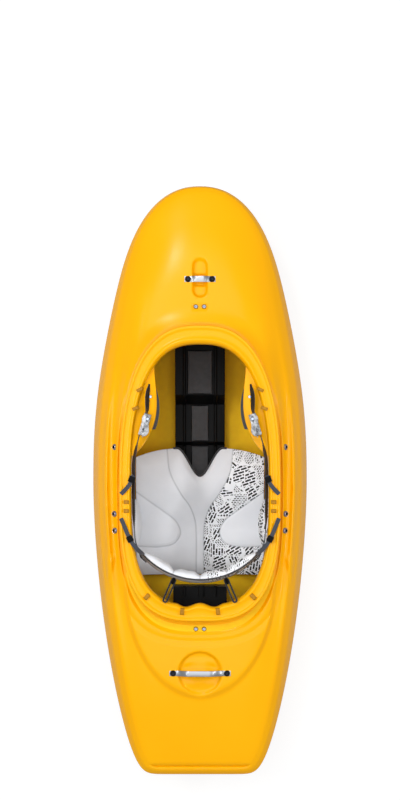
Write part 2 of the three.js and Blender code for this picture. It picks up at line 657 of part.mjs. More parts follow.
grabHandle('bow', { place: BOW_HANDLE_PLACE, halfSpan: BOW_HANDLE_HALF_SPAN,
  boltAt: BOW_HANDLE_BOLT, arch: BOW_HANDLE_ARCH, breadth: BOW_HANDLE_BREADTH });
grabHandle('stern', { place: STERN_HANDLE_PLACE, halfSpan: STERN_HANDLE_HALF_SPAN,
  boltAt: STERN_HANDLE_BOLT, arch: STERN_HANDLE_ARCH, breadth: STERN_HANDLE_BREADTH });

// Front beam: lies on the floor from the seat forward, then stands up to the deck as the front pillar
const BEAM_HALF_WIDTH = 75;
const BEAM_NOTCH_LAP = 6;
const BEAM_REAR = SEAT_NOTCH_FRONT - BEAM_NOTCH_LAP;
const BEAM_TAIL_HEIGHT = 30;
const BEAM_LOBE_CLEARANCE = 12;
const BEAM_TAIL_END = SEAT_LOBE_FRONT + BEAM_LOBE_CLEARANCE;
const BEAM_SEAT_CLEARANCE = 4;
const BEAM_MIDDLE_HEIGHT = WALL + SEAT_RISE - BEAM_SEAT_CLEARANCE;
const BEAM_STEP_RUN = 26;
const BEAM_STEP_SETBACK = 191;
const BEAM_STEP_END = RIM_FRONT - BEAM_STEP_SETBACK;
const BEAM_STEP_START = BEAM_STEP_END - BEAM_STEP_RUN;
const BEAM_FRONT_HEIGHT = 104;
const BEAM_PAD_SETBACK = 54;
const BEAM_FRONT_END = RIM_FRONT - BEAM_PAD_SETBACK;
const PILLAR_HALF_WIDTH = 40;
const PILLAR_LAP = 9;
const PILLAR_DEPTH = 160;
const PILLAR_REAR = RIM_FRONT - PILLAR_LAP;
const PILLAR_FRONT = PILLAR_REAR + PILLAR_DEPTH;
const PAD_RECESS = 6;
const PAD_THICKNESS = 12;
const PAD_FRONT_HALF_WIDTH = 36;
const PAD_MIDDLE_HALF_WIDTH = 25;
const PAD_MARGIN = 8;
const LEVEL_STEPS = 12;
const SETTLE = 1;

// A side profile between heights given by two functions of y
const sideProfile = (rear, front, low, high, steps = LEVEL_STEPS) => {
  const places = range(steps + 1).map((i) => mix(rear, front, i / steps));
  return [...places.map((y) => [y, low(y)]), ...places.reverse().map((y) => [y, high(y)])];
};
const floorUnder = (halfWidth) => (y) => insideLevels(-halfWidth, halfWidth, y).floor + SETTLE;
const ceilingOver = (halfWidth) => (y) => insideLevels(-halfWidth, halfWidth, y).ceiling - SETTLE;

const frontScrew = fastenerPair('front_pillar_screw', {
  x: DECK_SCREW_SPACING / 2, y: FRONT_SCREW_PLACE, nut: false, reach: DECK_SCREW_DEPTH });
const rearScrew = fastenerPair('rear_pillar_screw', {
  x: DECK_SCREW_SPACING / 2, y: REAR_SCREW_PLACE, nut: false, reach: DECK_SCREW_DEPTH });

function frontPillar() {
  const floor = floorUnder(BEAM_HALF_WIDTH);
  const along = range(LEVEL_STEPS + 1).map((i) => mix(BEAM_REAR, PILLAR_FRONT, i / LEVEL_STEPS));
  const tops = [
    [PILLAR_FRONT, BEAM_FRONT_HEIGHT + (PILLAR_FRONT - PILLAR_REAR) / 4], [PILLAR_REAR, BEAM_FRONT_HEIGHT],
    [BEAM_STEP_END, BEAM_FRONT_HEIGHT], [BEAM_STEP_START, BEAM_MIDDLE_HEIGHT],
    [BEAM_TAIL_END + PAD_MARGIN, BEAM_MIDDLE_HEIGHT], [BEAM_TAIL_END, BEAM_TAIL_HEIGHT],
    [BEAM_REAR, BEAM_TAIL_HEIGHT],
  ];
  const beamLine = [...along.map((y) => [y, floor(y)]), ...tops];
  const beam = prism(beamLine, 2 * BEAM_HALF_WIDTH, alongX(-BEAM_HALF_WIDTH));
  const pillarFoot = () => BEAM_FRONT_HEIGHT - PAD_THICKNESS;
  const pillarLine = sideProfile(PILLAR_REAR, PILLAR_FRONT, pillarFoot, ceilingOver(PILLAR_HALF_WIDTH));
  const pillar = prism(pillarLine, 2 * PILLAR_HALF_WIDTH, alongX(-PILLAR_HALF_WIDTH));
  return cut(join(beam, pillar), ...padSeats.map(({ recess }) => recess),
    frontScrew.bore, mirrored(frontScrew.bore));
}

// Three foam pads let into the top of the beam
const padSeats = [
  { name: 'front', rear: BEAM_STEP_END, front: BEAM_FRONT_END,
    half: PAD_FRONT_HALF_WIDTH, top: BEAM_FRONT_HEIGHT },
  { name: 'middle', rear: BEAM_TAIL_END + PAD_MARGIN, front: BEAM_STEP_START,
    half: PAD_MIDDLE_HALF_WIDTH, top: BEAM_MIDDLE_HEIGHT },
  { name: 'rear', rear: BEAM_REAR, front: BEAM_TAIL_END, half: PAD_MIDDLE_HALF_WIDTH, top: BEAM_TAIL_HEIGHT },
].map(({ name, rear, front, half, top }) => {
  const [low, high] = [rear + PAD_MARGIN / 2, front - PAD_MARGIN / 2];
  const block = (grow, base, lid) => prism(
    [[low - grow, base], [high + grow, base], [high + grow, lid], [low - grow, lid]],
    2 * (half + grow), alongX(-half - grow));
  return { name, recess: block(GAP, top - PAD_RECESS, top + OVERRUN), block: block(0, top - PAD_RECESS + GAP,
    top - PAD_RECESS + (name === 'rear' ? PAD_RECESS : PAD_THICKNESS)) };
});

addPiece('front_pillar', frontPillar(), mouldedBlack);
for (const { name, block } of padSeats) addPiece(`pillar_pad_${name}`, block, foamBlack);

// Rear pillar: a block from floor to deck behind the seat, under the rear deck
const REAR_PILLAR_HALF_WIDTH = 80;
const REAR_PILLAR_CORE_HALF_WIDTH = 60;
const REAR_PILLAR_LEAD = 20;
const REAR_PILLAR_FRONT = RIM_REAR + REAR_PILLAR_LEAD;
const REAR_PILLAR_END_INSET = 235;
const REAR_PILLAR_REAR = REAR_PILLAR_END_INSET - HALF_LENGTH;
const REAR_PILLAR_NOSE = 73;
const REAR_PILLAR_STEP = REAR_PILLAR_FRONT + REAR_PILLAR_NOSE;
const REAR_PILLAR_LEDGE = 150;
function rearPillar() {
  const floor = floorUnder(REAR_PILLAR_HALF_WIDTH);
  const ceiling = ceilingOver(REAR_PILLAR_CORE_HALF_WIDTH);
  const block = prism(sideProfile(REAR_PILLAR_REAR, REAR_PILLAR_FRONT, floor, ceiling),
    2 * REAR_PILLAR_CORE_HALF_WIDTH, alongX(-REAR_PILLAR_CORE_HALF_WIDTH));
  const noseRear = REAR_PILLAR_FRONT - REAR_PILLAR_HALF_WIDTH / 2;
  const nose = prism(sideProfile(noseRear, REAR_PILLAR_STEP, floor, () => REAR_PILLAR_LEDGE, 2),
    2 * REAR_PILLAR_HALF_WIDTH, alongX(-REAR_PILLAR_HALF_WIDTH));
  return cut(join(block, nose), rearScrew.bore, mirrored(rearScrew.bore));
}
addPiece('rear_pillar', rearPillar(), mouldedBlack);

// Foam foot blocks either side of the front pillar, against the rising bow floor
const FOOT_BOW_INSET = 195;
const FOOT_LENGTH = 120;
const FOOT_FRONT = HALF_LENGTH - FOOT_BOW_INSET;
const FOOT_REAR = FOOT_FRONT - FOOT_LENGTH;
const FOOT_BREADTH = 95;
function footBlock() {
  const inner = BEAM_HALF_WIDTH + GAP;
  const outer = inner + FOOT_BREADTH;
  const floor = (y) => insideLevels(inner, outer, y).floor + SETTLE;
  const ceiling = (y) => insideLevels(inner, outer, y).ceiling - SETTLE;
  return prism(sideProfile(FOOT_REAR, FOOT_FRONT, floor, ceiling, 5), FOOT_BREADTH, alongX(inner));
}
addPair('foot_block', footBlock(), foamBlack);

// Seat surface: low at the rear, rising forward under the thighs and up at the sides
const SEAT_SIDE_RISE = 60;
const SEAT_SIDE_POWER = 3.5;
const PAN_THICKNESS = 4;
const SEAT_PAD_THICKNESS = 19;
const SEAT_PAD_EDGE = 7;
const SEAM_CHANNEL_DEPTH = 5;
const SEAM_CHANNEL_HALF_WIDTH = 13;
const PAD_ROUND_SHARE = 0.12;
const PAD_LIFT = 1;
const PAD_COLUMNS = 24;
const PAN_COLUMNS = 12;
const SEAT_ROWS = 18;
// Centre seam of the pad as (x, y), mirrored on the left: shares of the half width and the full length
const SEAM_SHARES = [[0.52, 1], [0.47, 0.81], [0.3, 0.64], [0.16, 0.54], [0.09, 0.45],
  [0.065, 0.38], [0.06, 0]];
// Hip curve of the pad, the rounded flap between hip and thigh
const FLAP_SHARES = [[1, 0.66], [0.8, 0.585], [0.57, 0.5], [0.38, 0.42], [0.31, 0.33],
  [0.4, 0.25], [0.65, 0.22], [1, 0.23]];

const seatDepth = SEAT_LOBE_FRONT - SEAT_REAR;
const panBase = WALL + 2 * GAP;

function seatRise(x, y) {
  const front = SEAT_RISE * ease((y - SEAT_RISE_START) / SEAT_RISE_RUN);
  return panBase + front + SEAT_SIDE_RISE * Math.abs(x / SEAT_HALF_WIDTH) ** SEAT_SIDE_POWER;
}

// Front edge of the seat: a V notch between two lobes, falling off to the outer corners
function seatFront(share) {
  const side = Math.abs(share);
  if (side < SEAT_NOTCH_SHARE) return mix(SEAT_NOTCH_FRONT, SEAT_LOBE_FRONT, ease(side / SEAT_NOTCH_SHARE));
  return mix(SEAT_LOBE_FRONT, SEAT_CORNER_FRONT, ((side - SEAT_NOTCH_SHARE) / (1 - SEAT_NOTCH_SHARE)) ** 2);
}

function distanceToLine(x, y, line) {
  let nearest = Infinity;
  for (let i = 1; i < line.length; i += 1) {
    const [[ax, ay], [bx, by]] = [line[i - 1], line[i]];
    const run = (bx - ax) ** 2 + (by - ay) ** 2;
    const share = clamp01(((x - ax) * (bx - ax) + (y - ay) * (by - ay)) / run);
    nearest = Math.min(nearest, Math.hypot(x - mix(ax, bx, share), y - mix(ay, by, share)));
  }
  return nearest;
}

const fromShares = (shares) => shares.map(([x, y]) => [x * SEAT_HALF_WIDTH, SEAT_REAR + y * seatDepth]);
const centreSeam = fromShares(SEAM_SHARES);
const hipFlap = fromShares(FLAP_SHARES);

// Closed sheet over the seat's plan: each ring crosses along its face and returns along its back
function seatSheet(inset, faceCount, face, backCount, back) {
  const edge = SEAT_HALF_WIDTH - inset;
  const line = (count, along, height) => range(count + 1).map((i) => {
    const share = -1 + (2 * i) / count;
    const x = Math.min(edge, Math.max(-edge, share * SEAT_HALF_WIDTH));
    const front = seatFront(share);
    const y = Math.min(front - inset, Math.max(SEAT_REAR + inset, mix(SEAT_REAR, front, along)));
    return [x, y, height(x, y, share, along)];
  });
  return skin(range(SEAT_ROWS + 1).map((row) => [
    ...line(faceCount, row / SEAT_ROWS, face), ...line(backCount, row / SEAT_ROWS, back).reverse()]));
}

const panTop = (x, y) => seatRise(x, y) + PAN_THICKNESS;
const padBase = (x, y) => panTop(x, y) + PAD_LIFT;
function padTop(x, y, share, along) {
  const border = Math.min(1 - Math.abs(share), along, 1 - along);
  const inside = ease(border / PAD_ROUND_SHARE);
  const crown = mix(SEAT_PAD_EDGE, SEAT_PAD_THICKNESS, Math.sqrt(inside));
  const seam = Math.min(distanceToLine(Math.abs(x), y, centreSeam), distanceToLine(Math.abs(x), y, hipFlap));
  const channel = SEAM_CHANNEL_DEPTH * ease(1 - seam / SEAM_CHANNEL_HALF_WIDTH) * inside;
  return padBase(x, y) + crown - channel;
}
addPiece('seat_pan', seatSheet(PAN_THICKNESS, PAN_COLUMNS, seatRise, PAN_COLUMNS, panTop), mouldedBlack);
addPiece('seat_pad', seatSheet(0, PAD_COLUMNS, padTop, PAN_COLUMNS, padBase), foamGrey);

// Hip plates: a foot under the pan, an upright, and a slotted tab bolted under the side deck
const HIP_PLATE_LEAD = 70;
const HIP_PLATE_LENGTH = 152;
const HIP_PLATE_REAR = SEAT_REAR + HIP_PLATE_LEAD;
const HIP_PLATE_FRONT = HIP_PLATE_REAR + HIP_PLATE_LENGTH;
const HIP_PLATE_THICKNESS = 3;
const HIP_FOOT_BREADTH = 62;
const HIP_FOOT_INNER = SEAT_HALF_WIDTH - HIP_FOOT_BREADTH;
const HIP_UPRIGHT_CLEARANCE = 9;
const HIP_UPRIGHT = SEAT_HALF_WIDTH + HIP_UPRIGHT_CLEARANCE;
const HIP_TAB_MARGIN = 14;
const HIP_TAB_OUTER = SIDE_BOLT_HALF_SPAN + HIP_TAB_MARGIN;
const SEAT_BOLT_LEAD = 69;
const SEAT_BOLT_SPACING = 49;
const SEAT_BOLT_REAR = HIP_PLATE_REAR + SEAT_BOLT_LEAD;
const SEAT_BOLT_FRONT = SEAT_BOLT_REAR + SEAT_BOLT_SPACING;
const HIP_TAB_CLEARANCE = 1.2;
const HIP_PLATE_STEPS = 5;

const sideTilt = Math.atan2(
  rimLine(0) - COLLAR_DROP - (SHOULDER_HEIGHT + rimLine(0) - COLLAR_DROP) / 2 + CHANNEL_DEPTH,
  (HALF_WIDTH - SHOULDER_INSET - RIM_HALF_WIDTH - COLLAR_SIDE_OUTSET) / 2);
const sideAxis = new THREE.Vector3(Math.sin(sideTilt), 0, Math.cos(sideTilt));
const tabCeiling = (x) => Math.min(...[HIP_PLATE_REAR, HIP_PLATE_FRONT].map((y) => (
  insideLevels(x - GAP, x + GAP, y).ceiling))) - HIP_TAB_CLEARANCE;

function hipPlate(bolts) {
  const outer = HIP_UPRIGHT + HIP_PLATE_THICKNESS;
  const places = (from, to) => range(HIP_PLATE_STEPS + 1).map((i) => mix(from, to, i / HIP_PLATE_STEPS));
  const footXs = places(HIP_FOOT_INNER, SEAT_HALF_WIDTH);
  const footTop = (x) => Math.min(seatRise(x, HIP_PLATE_REAR), seatRise(x, HIP_PLATE_FRONT)) - 2 * GAP;
  const tabStart = outer + HIP_PLATE_THICKNESS;
  const tabXs = places(tabStart, HIP_TAB_OUTER);
  const line = [
    ...footXs.map((x) => [x, footTop(x)]), [HIP_UPRIGHT, footTop(SEAT_HALF_WIDTH)],
    [HIP_UPRIGHT, tabCeiling(tabStart)], ...tabXs.map((x) => [x, tabCeiling(x)]),
    ...tabXs.slice(1).reverse().map((x) => [x, tabCeiling(x) - HIP_PLATE_THICKNESS]),
    [outer, tabCeiling(tabStart) - HIP_PLATE_THICKNESS],
    [outer, footTop(SEAT_HALF_WIDTH) - HIP_PLATE_THICKNESS],
    ...footXs.reverse().map((x) => [x, footTop(x) - HIP_PLATE_THICKNESS]),
  ];
  const plate = prism(line, HIP_PLATE_FRONT - HIP_PLATE_REAR, alongY(HIP_PLATE_FRONT));
  const slotStart = SEAT_BOLT_REAR - SEAT_TRAVEL;
  const radius = SHANK_RADIUS + GAP;
  const slot = new THREE.Shape().absarc(SEAT_BOLT_FRONT, 0, radius, -Math.PI / 2, Math.PI / 2)
    .absarc(slotStart, 0, radius, Math.PI / 2, (3 * Math.PI) / 2);
  const frame = basis(Y_AXIS, new THREE.Vector3().crossVectors(sideAxis, Y_AXIS), sideAxis,
    new THREE.Vector3(bolts.x, 0, bolts.z).addScaledVector(sideAxis, -OVERRUN));
  const blank = new THREE.ExtrudeGeometry(slot, { depth: 2 * OVERRUN, bevelEnabled: false,
    curveSegments: 6 });
  return cut(plate, bare(blank.applyMatrix4(frame)));
}

// Nuts sit clear below the tab: from the inner face of the wall past the tab and its clearances
const tabDrop = rimSlope * (SEAT_BOLT_FRONT - HIP_PLATE_REAR);
const tabDepth = tabDrop + HIP_PLATE_THICKNESS + 2 * HIP_TAB_CLEARANCE;
const tabGrip = tabDepth * Math.cos(sideTilt) + HIP_PLATE_THICKNESS;
const seatBolt = fastenerPair('seat_bolt_front', {
  x: SIDE_BOLT_HALF_SPAN, y: SEAT_BOLT_FRONT, axis: sideAxis, grip: tabGrip });
fastenerPair('seat_bolt_rear', {
  x: SIDE_BOLT_HALF_SPAN, y: SEAT_BOLT_REAR, height: seatBolt.deck, axis: sideAxis, grip: tabGrip });
fastenerPair('brace_bolt', { x: SIDE_BOLT_HALF_SPAN, y: BRACE_BOLT_PLACE, axis: sideAxis });
addPair('hip_plate', hipPlate({ x: SIDE_BOLT_HALF_SPAN, z: seatBolt.deck }), satinAluminium);

// Hip pads: crescent cushions on the inside of the hip plates
const HIP_PAD_INSET = 8;
const HIP_PAD_LENGTH = 154;
const HIP_PAD_REAR = HIP_PLATE_REAR + HIP_PAD_INSET;
const HIP_PAD_FRONT = HIP_PAD_REAR + HIP_PAD_LENGTH;
const HIP_PAD_BASE = 92;
const HIP_PAD_TOP = 262;
const HIP_PAD_THICKNESS = 28;
const HIP_PAD_EDGE = 7;
const HIP_PAD_SWELL_POWER = 0.7;
const HIP_PAD_ROUND_POWER = 0.6;
const HIP_PAD_END_SHARE = 0.6;
function hipPad() {
  const [stations, sides] = [10, 12];
  const face = HIP_UPRIGHT - GAP;
  return skin(range(stations + 1).map((station) => {
    const along = station / stations;
    const swell = clamp01(Math.sin(Math.PI * along)) ** HIP_PAD_SWELL_POWER;
    const thick = mix(HIP_PAD_EDGE, HIP_PAD_THICKNESS, swell);
    const half = ((HIP_PAD_TOP - HIP_PAD_BASE) / 2) * mix(HIP_PAD_END_SHARE, 1, swell);
    const middle = (HIP_PAD_TOP + HIP_PAD_BASE) / 2;
    const y = mix(HIP_PAD_REAR, HIP_PAD_FRONT, along);
    return range(sides + 1).map((i) => {
      const angle = (Math.PI * i) / sides;
      const out = clamp01(Math.sin(angle)) ** HIP_PAD_ROUND_POWER;
      return [face - thick * out, y, middle - half * Math.cos(angle)];
    });
  }));
}
addPair('hip_pad', hipPad(), foamGrey);

// Back band: a curved shell with a quilted pad on its inner face
const BAND_TOP = 266;
const BAND_BASE = 98;
const BAND_END_BASE = 178;
const BAND_LEAN = 16;
const BAND_PAD_THICKNESS = 27;
const BAND_PAD_EDGE = 6;
const BAND_SHELL_THICKNESS = 3;
const BAND_SHELL_MARGIN = 8;
const BAND_SHELL_SHARE = 0.98;
const LOBE_CHANNEL_DEPTH = 9;
const LOBE_SHARES = [-0.42, 0, 0.42];
const LOBE_CHANNEL_SHARE = 0.12;
const BAND_BASE_POWER = 1.6;
const BAND_END_SHARE = 0.25;

const bandBase = (share) => mix(BAND_BASE, BAND_END_BASE, Math.abs(share) ** BAND_BASE_POWER);
function bandPoint(share, z, radius) {
  const lean = BAND_LEAN * ((z - BAND_BASE) / (BAND_TOP - BAND_BASE) - 1 / 2);
  const angle = share * BAND_HALF_ANGLE;
  return [(radius - lean) * Math.sin(angle), BAND_CENTRE - (radius - lean) * Math.cos(angle), z];
}

function bandShell() {
  const stations = 20;
  return skin(range(stations + 1).map((station) => {
    const share = BAND_SHELL_SHARE * (-1 + (2 * station) / stations);
    const [low, high] = [bandBase(share) + BAND_SHELL_MARGIN, BAND_TOP - BAND_SHELL_MARGIN];
    const [near, far] = [BAND_RADIUS + 2 * GAP, BAND_RADIUS + 2 * GAP + BAND_SHELL_THICKNESS];
    const corners = [[low, near], [high, near], [high, far], [low, far]];
    return corners.map(([z, radius]) => bandPoint(share, z, radius));
  }));
}

function bandPad() {
  const [stations, sides] = [30, 10];
  return skin(range(stations + 1).map((station) => {
    const share = -1 + (2 * station) / stations;
    const nearestLobe = Math.min(...LOBE_SHARES.map((lobe) => Math.abs(share - lobe)));
    const channel = LOBE_CHANNEL_DEPTH * ease(1 - nearestLobe / LOBE_CHANNEL_SHARE);
    const swell = Math.sqrt(ease((1 - Math.abs(share)) / BAND_END_SHARE));
    const thick = mix(BAND_PAD_EDGE, BAND_PAD_THICKNESS, swell) - channel;
    const [low, high] = [bandBase(share), BAND_TOP];
    return range(sides + 1).map((i) => {
      const angle = (Math.PI * i) / sides;
      const z = mix(low, high, (1 - Math.cos(angle)) / 2);
      return bandPoint(share, z, BAND_RADIUS - thick * Math.sqrt(clamp01(Math.sin(angle))));
    });
  }));
}
addPiece('back_band_shell', bandShell(), mouldedBlack);
addPiece('back_band_pad', bandPad(), foamGrey);

// A flat strap through points: thick across, tall along the given up direction at each point
function strap(points, thick, tall, ups) {
  const line = points.map(([x, y, z]) => new THREE.Vector3(x, y, z));
  return skin(line.map((point, i) => {
    const ahead = line[Math.min(i + 1, line.length - 1)].clone().sub(line[Math.max(i - 1, 0)]).normalize();
    const up = ups(i).clone();
    const across = new THREE.Vector3().crossVectors(ahead, up).normalize();
    const rise = new THREE.Vector3().crossVectors(across, ahead);
    return [[-1, -1], [1, -1], [1, 1], [-1, 1]].map(([side, level]) => point.clone()
      .addScaledVector(across, (side * thick) / 2).addScaledVector(rise, (level * tall) / 2).toArray());
  }));
}

// Ratchet buckles stand on the thigh hooks; each grips the toothed strap that pulls the back band
const LADDER_THICKNESS = 2.4;
const LADDER_HEIGHT = 20;
const LADDER_OFFSET = 6;
const RATCHET_INSET = 34;
const RATCHET_X = COCKPIT_HALF_WIDTH - RATCHET_INSET;
const RATCHET_LEAD = 94;
const RATCHET_Y = HOOK_REAR + RATCHET_LEAD;
const RATCHET_LENGTH = 64;
const RATCHET_CHEEK = 2.5;
const RATCHET_DEPTH = 16;
const FOOT_START = -26;
const FOOT_END = 12;
const FOOT_REACH = 8;
const LEVER_PIVOT_ALONG = 18;
const LEVER_PIVOT_OUT = 9;
const LEVER_PIN_RADIUS = 2.5;
const LEVER_EYE = 6;
const LEVER_THICKNESS = 4;
const LEVER_LENGTH = 36;
const RELEASE_PIVOT_ALONG = -18;
const RELEASE_PIVOT_OUT = 6;
const RELEASE_EYE = 3.4;
const RELEASE_PIN_RADIUS = 2;
const RELEASE_LENGTH = 19;
const ratchetHeading = THREE.MathUtils.degToRad(107);
const ratchetLift = (rimSlope * RATCHET_LENGTH) / 2 + GAP;
const ratchetStand = HOOK_TILT_SHARE * RATCHET_DEPTH + (rimSlope * RATCHET_LENGTH) / 2 + RATCHET_CHEEK;
const ladderStand = ratchetStand + RATCHET_CHEEK + ratchetLift + LADDER_HEIGHT / 2;
const ladderOverHook = (y) => hookTop(RATCHET_X, y) + ladderStand;
const LADDER_REST_DROP = 12;
const LADDER_RISE_LEAD = 50;
const LADDER_RISE_START = HOOK_REAR - LADDER_RISE_LEAD;
const LADDER_RISE_RUN = 70;
const ladderRise = (y) => ease((y - LADDER_RISE_START) / LADDER_RISE_RUN);
const ladderMiddle = (y) => mix(rimLine(y) - LADDER_REST_DROP, ladderOverHook(y), ladderRise(y));

function ratchetFrame() {
  const forward = new THREE.Vector3(Math.cos(ratchetHeading), Math.sin(ratchetHeading), 0);
  const inward = new THREE.Vector3().crossVectors(Z_AXIS, forward);
  return basis(forward, inward, Z_AXIS, new THREE.Vector3(RATCHET_X, RATCHET_Y, ladderMiddle(RATCHET_Y)));
}
const ratchet = ratchetFrame();

const inRatchet = (geometry) => geometry.applyMatrix4(ratchet);
const disc = (along, out, radius, low, high) => {
  const outline = [[0, low], [radius, low], [radius, high], [0, high]];
  return turned(outline, new THREE.Vector3(along, out, 0), Z_AXIS);
};

// Foot of the buckle: a block whose underside follows the thigh hook
function ratchetFoot(back, level) {
  const plan = [[FOOT_START, back], [FOOT_END, back], [FOOT_END, FOOT_REACH], [FOOT_START, FOOT_REACH]];
  const top = plan.map(([along, out]) => [along, out, level]);
  const base = plan.map(([along, out]) => {
    const { x, y } = new THREE.Vector3(along, out, 0).applyMatrix4(ratchet);
    return [along, out, hookTop(x, y) + GAP - ladderMiddle(RATCHET_Y)];
  });
  return skin([base, top]);
}

function ratchetBase() {
  const half = LADDER_HEIGHT / 2 + ratchetLift;
  const outerHalf = half + RATCHET_CHEEK;
  const floor = -LADDER_THICKNESS / 2 - 2 * GAP;
  const back = floor - RATCHET_CHEEK;
  const channel = [[back, -outerHalf], [RATCHET_DEPTH, -outerHalf], [RATCHET_DEPTH, -half], [floor, -half],
    [floor, half], [RATCHET_DEPTH, half], [RATCHET_DEPTH, outerHalf], [back, outerHalf]];
  const body = prism(channel, RATCHET_LENGTH, basis(Y_AXIS, Z_AXIS, X_AXIS,
    new THREE.Vector3(-RATCHET_LENGTH / 2, 0, 0)));
  const lift = outerHalf + OVERRUN;
  return inRatchet(cut(join(body, ratchetFoot(back, -half - RATCHET_CHEEK / 2)),
    disc(LEVER_PIVOT_ALONG, LEVER_PIVOT_OUT, LEVER_PIN_RADIUS + GAP, -lift, lift),
    disc(RELEASE_PIVOT_ALONG, RELEASE_PIVOT_OUT, RELEASE_PIN_RADIUS + GAP, -lift, lift)));
}

// A lever outline in the plane of the strap: a round eye with an arm that runs back and flares out
const LEVER_KNEE_SHARE = 0.7;
function leverOutline(along, out, eye, arm, thick, flare) {
  const arc = range(9).map((i) => {
    const angle = -Math.PI / 2 + (Math.PI * i) / 8;
    return [along + eye * Math.cos(angle), out + eye * Math.sin(angle)];
  });
  return [...arc, [along - arm * LEVER_KNEE_SHARE, out + eye], [along - arm, out + eye + flare],
    [along - arm, out + eye + flare - thick], [along - arm * LEVER_KNEE_SHARE, out + eye - thick],
    [along - eye, out + eye - thick], [along - eye, out - eye / 2], [along - eye / 2, out - eye]];
}

const leverHalf = LADDER_HEIGHT / 2 + ratchetLift - GAP;

function ratchetLever() {
  const outline = leverOutline(LEVER_PIVOT_ALONG, LEVER_PIVOT_OUT, LEVER_EYE, LEVER_LENGTH, LEVER_THICKNESS,
    LEVER_EYE);
  const arm = prism(outline, 2 * leverHalf, new THREE.Matrix4().setPosition(0, 0, -leverHalf));
  const [low, high] = [-RATCHET_LENGTH, RATCHET_LENGTH];
  const bore = disc(LEVER_PIVOT_ALONG, LEVER_PIVOT_OUT, LEVER_PIN_RADIUS + GAP, low, high);
  return inRatchet(cut(arm, bore));
}

function ratchetPin() {
  const half = LADDER_HEIGHT / 2 + ratchetLift + RATCHET_CHEEK + GAP;
  const head = RATCHET_CHEEK / 2;
  const wide = LEVER_PIN_RADIUS + RATCHET_CHEEK / 2;
  const profile = [[0, -half - head], [wide, -half - head], [wide, -half], [LEVER_PIN_RADIUS, -half],
    [LEVER_PIN_RADIUS, half], [wide, half], [wide, half + head], [0, half + head]];
  return inRatchet(turned(profile, new THREE.Vector3(LEVER_PIVOT_ALONG, LEVER_PIVOT_OUT, 0), Z_AXIS));
}

function ratchetRelease() {
  const outline = leverOutline(RELEASE_PIVOT_ALONG, RELEASE_PIVOT_OUT, RELEASE_EYE, RELEASE_LENGTH,
    RELEASE_PIN_RADIUS, RELEASE_PIN_RADIUS);
  const tab = prism(outline, 2 * leverHalf, new THREE.Matrix4().setPosition(0, 0, -leverHalf));
  const trunnion = leverHalf + RATCHET_CHEEK;
  return inRatchet(join(tab,
    disc(RELEASE_PIVOT_ALONG, RELEASE_PIVOT_OUT, RELEASE_PIN_RADIUS, -trunnion, trunnion)));
}
addPair('ratchet_base', ratchetBase(), castMetal);
addPair('ratchet_pin', ratchetPin(), stainless);
addPair('ratchet_lever', ratchetLever(), castMetal);
addPair('ratchet_release', ratchetRelease(), castMetal);

// Toothed strap: from its tail over the thigh hook, through the buckle, to the back band's end
const LADDER_TAIL_SETBACK = 55;
const LADDER_TAIL_INSET = 53;
const LADDER_TAIL = HOOK_FRONT - LADDER_TAIL_SETBACK;
const LADDER_TAIL_X = COCKPIT_HALF_WIDTH - LADDER_TAIL_INSET;
const LADDER_BAND_HEIGHT = 244;
// Where on the band's shell the strap starts and leaves, as shares of its half angle
const LADDER_BAND_SHARES = [0.84, 0.94];
const LADDER_RUNOUT_SHARE = 0.62;
const LADDER_TURN_SHARE = 0.45;
const LADDER_STEPS = 32;
// Where the strap's route follows the rim's inner edge, from the band's end to the buckle
const LADDER_STOP_SHARES = [0.1, 0.17, 0.275, 0.434, 0.592, 0.725];
function ladderStrap() {
  const heading = new THREE.Vector3().setFromMatrixColumn(ratchet, 0);
  const centre = new THREE.Vector3().setFromMatrixPosition(ratchet);
  const through = [-1, 0, 1].map((run) => (
    centre.clone().addScaledVector(heading, run * LADDER_RUNOUT_SHARE * RATCHET_LENGTH)));
  const alongRim = LADDER_STOP_SHARES.map((share) => {
    const y = mix(BAND_END, RATCHET_Y, share);
    return new THREE.Vector3(innerEdge(y) - LADDER_OFFSET, y, ladderMiddle(y));
  });
  const clear = BAND_RADIUS + GAP + BAND_SHELL_THICKNESS + 2 * LADDER_THICKNESS;
  const onBand = LADDER_BAND_SHARES.map((share) => (
    new THREE.Vector3(...bandPoint(share, LADDER_BAND_HEIGHT, clear))));
  const turn = onBand[1].clone().lerp(alongRim[0], LADDER_TURN_SHARE);
  const tail = new THREE.Vector3(LADDER_TAIL_X, LADDER_TAIL, ladderMiddle(LADDER_TAIL));
  const beforeTail = through[through.length - 1].clone().lerp(tail, 1 / 2);
  const route = [...onBand, turn, ...alongRim, ...through, beforeTail, tail];
  const points = new THREE.CatmullRomCurve3(route, false, 'centripetal').getPoints(LADDER_STEPS);
  return strap(points.map((p) => p.toArray()), LADDER_THICKNESS, LADDER_HEIGHT, () => Z_AXIS);
}
addPair('ladder_strap', ladderStrap(), webbing);

// Thigh pads: foam crescents under the hooks, held by a screw in the first of a row of holes
const THIGH_SCREW_INSET = 55;
const THIGH_SCREW_SETBACK = 91;
const THIGH_SCREW_X = COCKPIT_HALF_WIDTH - THIGH_SCREW_INSET;
const THIGH_SCREW_Y = HOOK_FRONT - THIGH_SCREW_SETBACK;
const THIGH_HOLE_PITCH = 12.7;
const THIGH_HOLE_COUNT = 4;
const THIGH_HOLE_TURN = THREE.MathUtils.degToRad(-73);
const THIGH_SHANK = 2.5;
const THIGH_HEAD = 5;
const THIGH_PAD_SETBACK = 60;
const THIGH_PAD_LENGTH = 125;
const THIGH_PAD_INSET = 60;
const THIGH_PAD_FRONT = HOOK_FRONT - THIGH_PAD_SETBACK;
const THIGH_PAD_REAR = THIGH_PAD_FRONT - THIGH_PAD_LENGTH;
const THIGH_PAD_MIDDLE = COCKPIT_HALF_WIDTH - THIGH_PAD_INSET;
const THIGH_PAD_HALF_WIDTH = 21;
